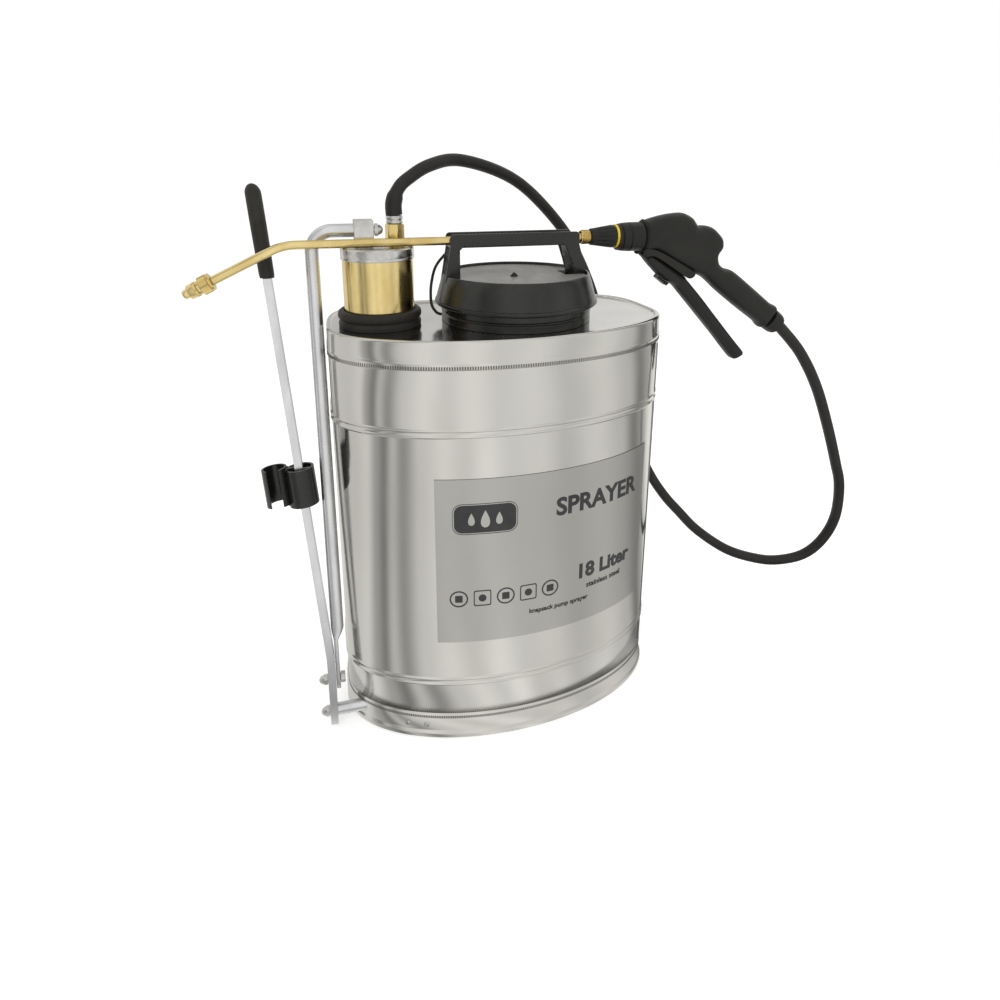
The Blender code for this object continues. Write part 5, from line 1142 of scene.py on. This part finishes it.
def makeLid():
    centre = home + (lid["x"], lid["y"], 0.0)
    bottom, top, low, high, wall = (lid[key] for key in ("bottom", "top", "low", "high",
                                                         "wall"))
    slope = (low - high) / (top - bottom)
    discLevel = top - 0.0028
    ledge = discLevel - 0.0030
    inside = high - wall
    skirt = [(inside, ledge - 0.0003), (inside, top - 0.0006), (inside + 0.0006, top),
             (high - 0.0010, top), (high, top - 0.0008),
             (high + slope * 0.010, top - 0.010), (low - slope * 0.0052, bottom + 0.0052),
             (low - 0.0010, bottom + 0.0044), (low - 0.0012, bottom + 0.0038),
             (low - 0.0002, bottom + 0.0032), (low, bottom + 0.0012), (low - 0.0010, bottom),
             (low - wall, bottom), (high + slope * 0.006 - wall, ledge - 0.0060),
             (0.0520, ledge - 0.0030), (0.0520, ledge - 0.0003)]
    shell = spun("lidSkirt", skirt, centre, steps=192, closed=True)

    topZ, under = 0.4955, 0.4827
    left, right = -0.0500, 0.0800
    foot = top - 0.0072
    corner = 0.0040

    def quarter(x, z, start, end):
        return [(x + corner * math.cos(math.radians(part)),
                 z + corner * math.sin(math.radians(part)))
                for part in np.linspace(start, end, 7)]

    inner = 0.0025
    arch = [(left - 0.0056, foot), (left - 0.0028, (foot + under) / 2), (left, under)]
    arch += quarter(left + corner, topZ - corner, 180, 90)
    arch += quarter(right - corner, topZ - corner, 90, 0)
    arch += [(right, under), (right + 0.0049, (foot + under) / 2), (right + 0.0098, foot),
             (right - 0.0037, foot), (right - 0.0086, (foot + under) / 2),
             (right - 0.0135, under - inner), (right - 0.0135 - inner, under),
             (left + 0.0092 + inner, under), (left + 0.0092, under - inner),
             (left + 0.0092, foot)]
    walls = []
    for name, y in (("archFront", lid["y"] - 0.0115), ("archBack", lid["y"] + 0.0115)):
        walls.append(pillow(name, arch, y, 0.0015, 0.0007, smooth=0.0))
    # floor of the lance channel, and each leg's web between the two walls
    floorZ = 0.4847
    floor = [(left + 0.0004, under + 0.0001), (right - 0.0004, under + 0.0001),
             (right - 0.0004, floorZ), (left + 0.0004, floorZ)]
    walls.append(pillow("archFloor", floor, lid["y"], 0.0105, 0.0002, smooth=0.0))
    leftWeb = [(left + 0.0050, foot), (left + 0.0090, foot), (left + 0.0090, under + 0.001),
               (left + 0.0050, under + 0.001)]
    rightWeb = [(right - 0.0037, foot), (right + 0.0003, foot), (right - 0.0090, under + 0.001),
                (right - 0.0132, under + 0.001)]
    walls.append(pillow("leftWeb", leftWeb, lid["y"], 0.0105, 0.0002, smooth=0.0))
    walls.append(pillow("rightWeb", rightWeb, lid["y"], 0.0105, 0.0002, smooth=0.0))
    # fine upright ribs on the outer side of both legs
    for index, y in enumerate((-0.0062, -0.0021, 0.0021, 0.0062)):
        rib = [(left - 0.0050, foot), (left + 0.0052, foot), (left + 0.0052, under),
               (left + 0.0006, under)]
        walls.append(pillow("legRib%d" % index, rib, lid["y"] + y, 0.0007, 0.0003, smooth=0.0))
        rib = [(right - 0.0002, foot), (right + 0.0092, foot), (right - 0.0006, under),
               (right - 0.0092, under)]
        walls.append(pillow("farRib%d" % index, rib, lid["y"] + y, 0.0007, 0.0003, smooth=0.0))
    whole = joined("lid_shell_piece", [shell] + walls)
    dress(whole, "lid_shell")
    fromNode("lid_disc", 0.0003)
    nub = home + (0.0132, -0.0010, 0.0)
    seat = [(0.0002, discLevel - 0.0028), (0.0022, discLevel - 0.0028), (0.0022, discLevel + 0.0002),
            (0.0038, discLevel + 0.0003), (0.0036, discLevel + 0.0010), (0.0026, discLevel + 0.0018),
            (0.0015, discLevel + 0.0030), (0.0008, discLevel + 0.0036), (0.0002, discLevel + 0.0038)]
    dress(spun("breather_piece", seat, nub, steps=32), "breather_valve")
    fromNode("lid_seal")

    # neck: a smooth lower ring, then three turns of coarse thread
    def thread(angle, radius, run):
        pitch = 0.0042
        wave = np.cos((run - angle / (2 * math.pi) * pitch) * 2 * math.pi / pitch)
        inBand = (radius > 0.0700) & (run > 0.4292) & (run < 0.4384)
        return radius + np.where(inBand, 0.0006 * np.clip(wave, 0.0, 1.0), 0.0)

    step, crown, deck = 0.4260, 0.4400, 0.4107
    neck = [(0.0585, crown), (0.0700, crown), (0.0705, crown - 0.0010)]
    neck += [(0.0705, height) for height in np.linspace(crown - 0.0016, step + 0.0020, 26)]
    neck += [(0.0705, step), (0.0740, step), (0.0746, step - 0.0006),
             (0.0746, step - 0.0054), (0.0738, step - 0.0062), (0.0730, step - 0.0070),
             (0.0734, step - 0.0078), (0.0742, step - 0.0086), (0.0744, deck + 0.0010),
             (0.0742, deck), (0.0625, deck), (0.0625, 0.3984), (0.0585, 0.3984)]
    dress(spun("filler_neck_piece", neck, centre, steps=192, ripple=thread, closed=True),
          "filler_neck")
    fromNode("filter_basket")
    print("lid ready")


makeLid()


# lance
def makeLance():
    y, z = lance["y"], lance["z"]
    bendX, bendRadius, bendAngle, tipRun = -0.19, 0.05, math.radians(25.8), 0.056
    path = [(x, y, z) for x in np.linspace(0.0895, bendX + 0.004, 40)]
    for part in np.linspace(0.0, bendAngle, 14):
        path.append((bendX - bendRadius * math.sin(part), y,
                     z - bendRadius * (1 - math.cos(part))))
    last = np.array(path[-1])
    toward = np.array([-math.cos(bendAngle), 0.0, -math.sin(bendAngle)])
    path += [tuple(last + toward * run) for run in np.linspace(0.004, tipRun, 12)]
    tube = skin("lance_tube_piece", tubeRings(np.array(path) + home, 0.004, 32))
    dress(tube, "lance_tube")
    end = last + toward * tipRun + home

    def knurl(angle, radius, run):
        ridge = 0.5 + 0.5 * np.cos(angle * 40)
        return radius - np.where(radius > 0.0082, 0.00045 * ridge, 0.0)

    union = [(0.0002, 0.0003), (0.0070, 0.0003), (0.0080, 0.0007), (0.0080, 0.0019),
             (0.0072, 0.0023), (0.0073, 0.0027), (0.0084, 0.0032), (0.0084, 0.0104),
             (0.0074, 0.0110), (0.0062, 0.0113), (0.0062, 0.0133), (0.0002, 0.0133)]
    dress(spun("nozzle_union_piece", union, end, toward, 160, ripple=knurl), "nozzle_union")
    cap = [(0.0002, 0.0136), (0.0062, 0.0136), (0.0070, 0.0142), (0.0070, 0.0164),
           (0.0066, 0.0168), (0.0066, 0.0214), (0.0061, 0.0222), (0.0002, 0.0222)]

    def capKnurl(angle, radius, run):
        ridge = 0.5 + 0.5 * np.cos(angle * 30)
        return radius - np.where(radius > 0.0068, 0.0004 * ridge, 0.0)

    dress(spun("nozzle_cap_piece", cap, end, toward, 120, ripple=capKnurl), "nozzle_cap")
    tip = [(0.0002, 0.0226), (0.0040, 0.0226), (0.0042, 0.0232), (0.0042, 0.0262),
           (0.0034, 0.0274), (0.0016, 0.0276), (0.0012, 0.0266), (0.0002, 0.0262)]
    dress(spun("nozzle_tip_piece", tip, end, toward, 40), "nozzle_tip")
    start = np.array([0.0829 + 0.0003, y, z]) + home
    run = np.linspace(0.0008, 0.0094, 60)
    wave = 0.0067 + 0.00045 * np.cos(run * 2 * math.pi / 0.0017)
    sleeve = [(0.0043, 0.0), (0.0062, 0.0)] + list(zip(wave, run)) + [(0.0062, 0.0100),
                                                                      (0.0043, 0.0100)]
    dress(spun("lance_fitting_piece", sleeve, start, (1, 0, 0), 64, closed=True),
          "lance_fitting")
    print("lance ready")


makeLance()


# spray gun
gun = {"half": 0.0135, "nutStart": 0.0935, "nutEnd": 0.1190}


# The gun seen from the front, measured from the lance's axis.
def gunOutline():
    top = [(0.1490, 0.0140), (0.1541, 0.0158), (0.1660, 0.0190), (0.1778, 0.0212),
           (0.1880, 0.0222), (0.1955, 0.0219), (0.2046, 0.0177), (0.2090, 0.0130),
           (0.2124, 0.0089), (0.2190, 0.0088), (0.2254, 0.0080), (0.2310, 0.0058),
           (0.2349, 0.0028), (0.2400, -0.0020), (0.2430, -0.0066), (0.2439, -0.0137),
           (0.2420, -0.0185), (0.2391, -0.0224), (0.2390, -0.0270), (0.2413, -0.0323),
           (0.2480, -0.0370)]
    grip = [gripSpot(0.0310, 0.0142), gripSpot(0.0600, 0.0140), gripSpot(0.0900, 0.0130),
            gripSpot(0.1045, 0.0125), gripSpot(0.1045, -0.0125), gripSpot(0.0900, -0.0127),
            gripSpot(0.0600, -0.0130), gripSpot(0.0300, -0.0124), gripSpot(0.0050, -0.0108)]
    under = [(0.2096, -0.0410), (0.2040, -0.0377), (0.1850, -0.0278), (0.1650, -0.0170),
             (0.1490, -0.0160)]
    return top + grip + under


# Half of the gun with its rounded flank, and the cheek that hides the trigger's root.
def gunShell(name, nodeName, side):
    outline = [(x, height + lance["z"]) for x, height in gunOutline()]
    shell = cushion(name + "Shell", outline, lance["y"], side * 0.0008, side * gun["half"],
                    0.0105, grid=0.0026, flatBack=True, smooth=0.0018, sharp=75.0)
    cheek = [(0.1500, -0.0130), (0.1640, -0.0150), (0.1860, -0.0260), (0.2070, -0.0385),
             (0.2085, -0.0425), (0.2040, -0.0452), (0.1980, -0.0432), (0.1830, -0.0335),
             (0.1655, -0.0228), (0.1590, -0.0203), (0.1500, -0.0200)]
    cheek = [(x, height + lance["z"]) for x, height in cheek]
    cover = pillow(name + "Cheek", cheek, lance["y"] + side * 0.0110, 0.0012, 0.0008,
                   smooth=0.0016)
    return dress(joined(name, [shell, cover], 75.0), nodeName)


def makeGun():
    y, z = lance["y"], lance["z"]
    gunShell("gun_front_piece", "gun_shell_front", -1)
    gunShell("gun_back_piece", "gun_shell_back", 1)

    def flutes(angle, radius, run):
        ridge = np.clip(np.cos(angle * 14) * 1.6, -1.0, 1.0)
        middle = np.sin(np.clip((run - 0.003) / 0.0185, 0.0, 1.0) * math.pi)
        return radius - 0.0009 * (1 - ridge) * 0.5 * np.sqrt(np.maximum(middle, 0.0))

    start = np.array([gun["nutStart"], y, z]) + home
    run = np.linspace(0.0024, 0.0225, 14)
    nut = [(0.0046, 0.0), (0.0078, 0.0), (0.0083, 0.0007)]
    nut += [(0.0084 + 0.0030 * (part - 0.0024) / 0.0201, part) for part in run]
    nut += [(0.0113, 0.0240), (0.0108, 0.0255), (0.0046, 0.0255)]
    dress(spun("lance_nut_piece", nut, start, (1, 0, 0), 224, ripple=flutes, closed=True),
          "lance_nut")
    ringStart = np.array([gun["nutEnd"] + 0.0003, y, z]) + home
    ring = [(0.0046, 0.0), (0.0115, 0.0), (0.0118, 0.0004), (0.0118, 0.0020),
            (0.0115, 0.0024), (0.0046, 0.0024)]
    dress(spun("marker_ring_piece", ring, ringStart, (1, 0, 0), 96, closed=True),
          "marker_ring")
    collarStart = np.array([0.1220, y, z - 0.0010]) + home
    collar = [(0.0002, 0.0), (0.0124, 0.0), (0.0132, 0.0008), (0.0134, 0.0024),
              (0.0127, 0.0031), (0.0127, 0.0036), (0.0138, 0.0044), (0.0143, 0.0080),
              (0.0145, 0.0110), (0.0139, 0.0116), (0.0139, 0.0120), (0.0146, 0.0128),
              (0.0147, 0.0262), (0.0002, 0.0262)]
    dress(spun("gun_collar_piece", collar, collarStart, (1, 0, 0), 96), "gun_collar")
    red = [(0.0090, 0.0), (0.0127, 0.0002), (0.0130, 0.0008), (0.0127, 0.0014),
           (0.0090, 0.0014)]
    redRing = spun("seal_ring", red, collarStart + (-0.0001, 0.0, 0.0), (1, 0, 0), 72,
                   closed=True)
    trim(redRing, "redPlastic", "gun")
    gripDirection = np.array([math.cos(gripAngle), 0.0, math.sin(gripAngle)])
    endX, endZ = gripSpot(0.1205, 0.0)
    end = np.array([endX, y, z + endZ]) + home
    cap = [(0.0040, -0.0155), (0.0120, -0.0155), (0.0126, -0.0148), (0.0125, -0.0090),
           (0.0121, -0.0040), (0.0112, -0.0012), (0.0096, 0.0), (0.0068, 0.0),
           (0.0064, -0.0008), (0.0040, -0.0008)]
    dress(spun("gun_end_piece", cap, end, gripDirection, 96, closed=True), "gun_end_cap")
    for name in ("handle_tube", "valve_body", "trigger_pin"):
        fromNode(name)

    # trigger: a tapering bar, with a shallow raised panel near its root
    bar = [(0.1490, -0.0178), (0.1600, -0.0178), (0.1650, -0.0206), (0.1830, -0.0318),
           (0.2000, -0.0432), (0.2040, -0.0478), (0.2213, -0.0660), (0.2370, -0.0836),
           (0.2530, -0.1015), (0.2670, -0.1170), (0.2808, -0.1320), (0.2810, -0.1352),
           (0.2760, -0.1385), (0.2702, -0.1398), (0.2661, -0.1368), (0.2550, -0.1246),
           (0.2441, -0.1120), (0.2280, -0.0944), (0.2127, -0.0777), (0.2010, -0.0650),
           (0.1905, -0.0538), (0.1830, -0.0490), (0.1700, -0.0400), (0.1560, -0.0252)]
    bar = [(x, height + z) for x, height in bar]
    body = cushion("triggerBar", bar, y, 0.0034, 0.0086, 0.0064, grid=0.0022, smooth=0.0018,
                   sharp=70.0)
    rootPanel = [(0.1560, -0.0215), (0.1620, -0.0232), (0.1840, -0.0378), (0.1960, -0.0478),
                 (0.1945, -0.0530), (0.1890, -0.0512), (0.1720, -0.0398), (0.1580, -0.0262)]
    rootPanel = [(x, height + z) for x, height in rootPanel]
    ridge = pillow("triggerPanel", rootPanel, y, 0.0093, 0.0010, smooth=0.0018)
    fin = [(0.1990, -0.0522), (0.2240, -0.0790), (0.2500, -0.1085), (0.2700, -0.1312),
           (0.2690, -0.1322), (0.2480, -0.1097), (0.2220, -0.0802), (0.1975, -0.0532)]
    fin = [(x, height + z) for x, height in fin]
    crest = pillow("triggerFin", fin, y, 0.0090, 0.0005, smooth=0.0)
    dress(joined("trigger_piece", [body, ridge, crest]), "trigger")
    slider = []
    low, high = np.array([0.1700, -0.0400]), np.array([0.1860, -0.0520])
    along = (high - low) / np.linalg.norm(high - low)
    out = np.array([along[1], -along[0]])
    for index in range(6):
        spot = low + along * (0.0022 + 0.0026 * index) + out * 0.0021
        tooth = [spot + along * a + out * b for a, b in
                 ((-0.0009, -0.0016), (0.0009, -0.0016), (0.0006, 0.0019), (-0.0006, 0.0019))]
        tooth = [(point[0], point[1] + z) for point in tooth]
        slider.append(pillow("tooth%d" % index, tooth, y, 0.0050, 0.0003, smooth=0.0))
    base = [low + along * a + out * b for a, b in
            ((0.0012, 0.0003), (0.0166, 0.0003), (0.0160, 0.0016), (0.0018, 0.0016))]
    base = [(point[0], point[1] + z) for point in base]
    slider.append(pillow("sliderBase", base, y, 0.0052, 0.0003, smooth=0.0))
    dress(joined("lock_slider_piece", slider), "lock_slider")
    print("gun ready")


makeGun()

for name, obj in frame["nodes"].items():
    if not obj.hide_render:
        print("plain node", name)
        obj.data.materials.clear()
        obj.data.materials.append(finish[finishOfSlot[slotOf[name]]])

print("all pieces made")
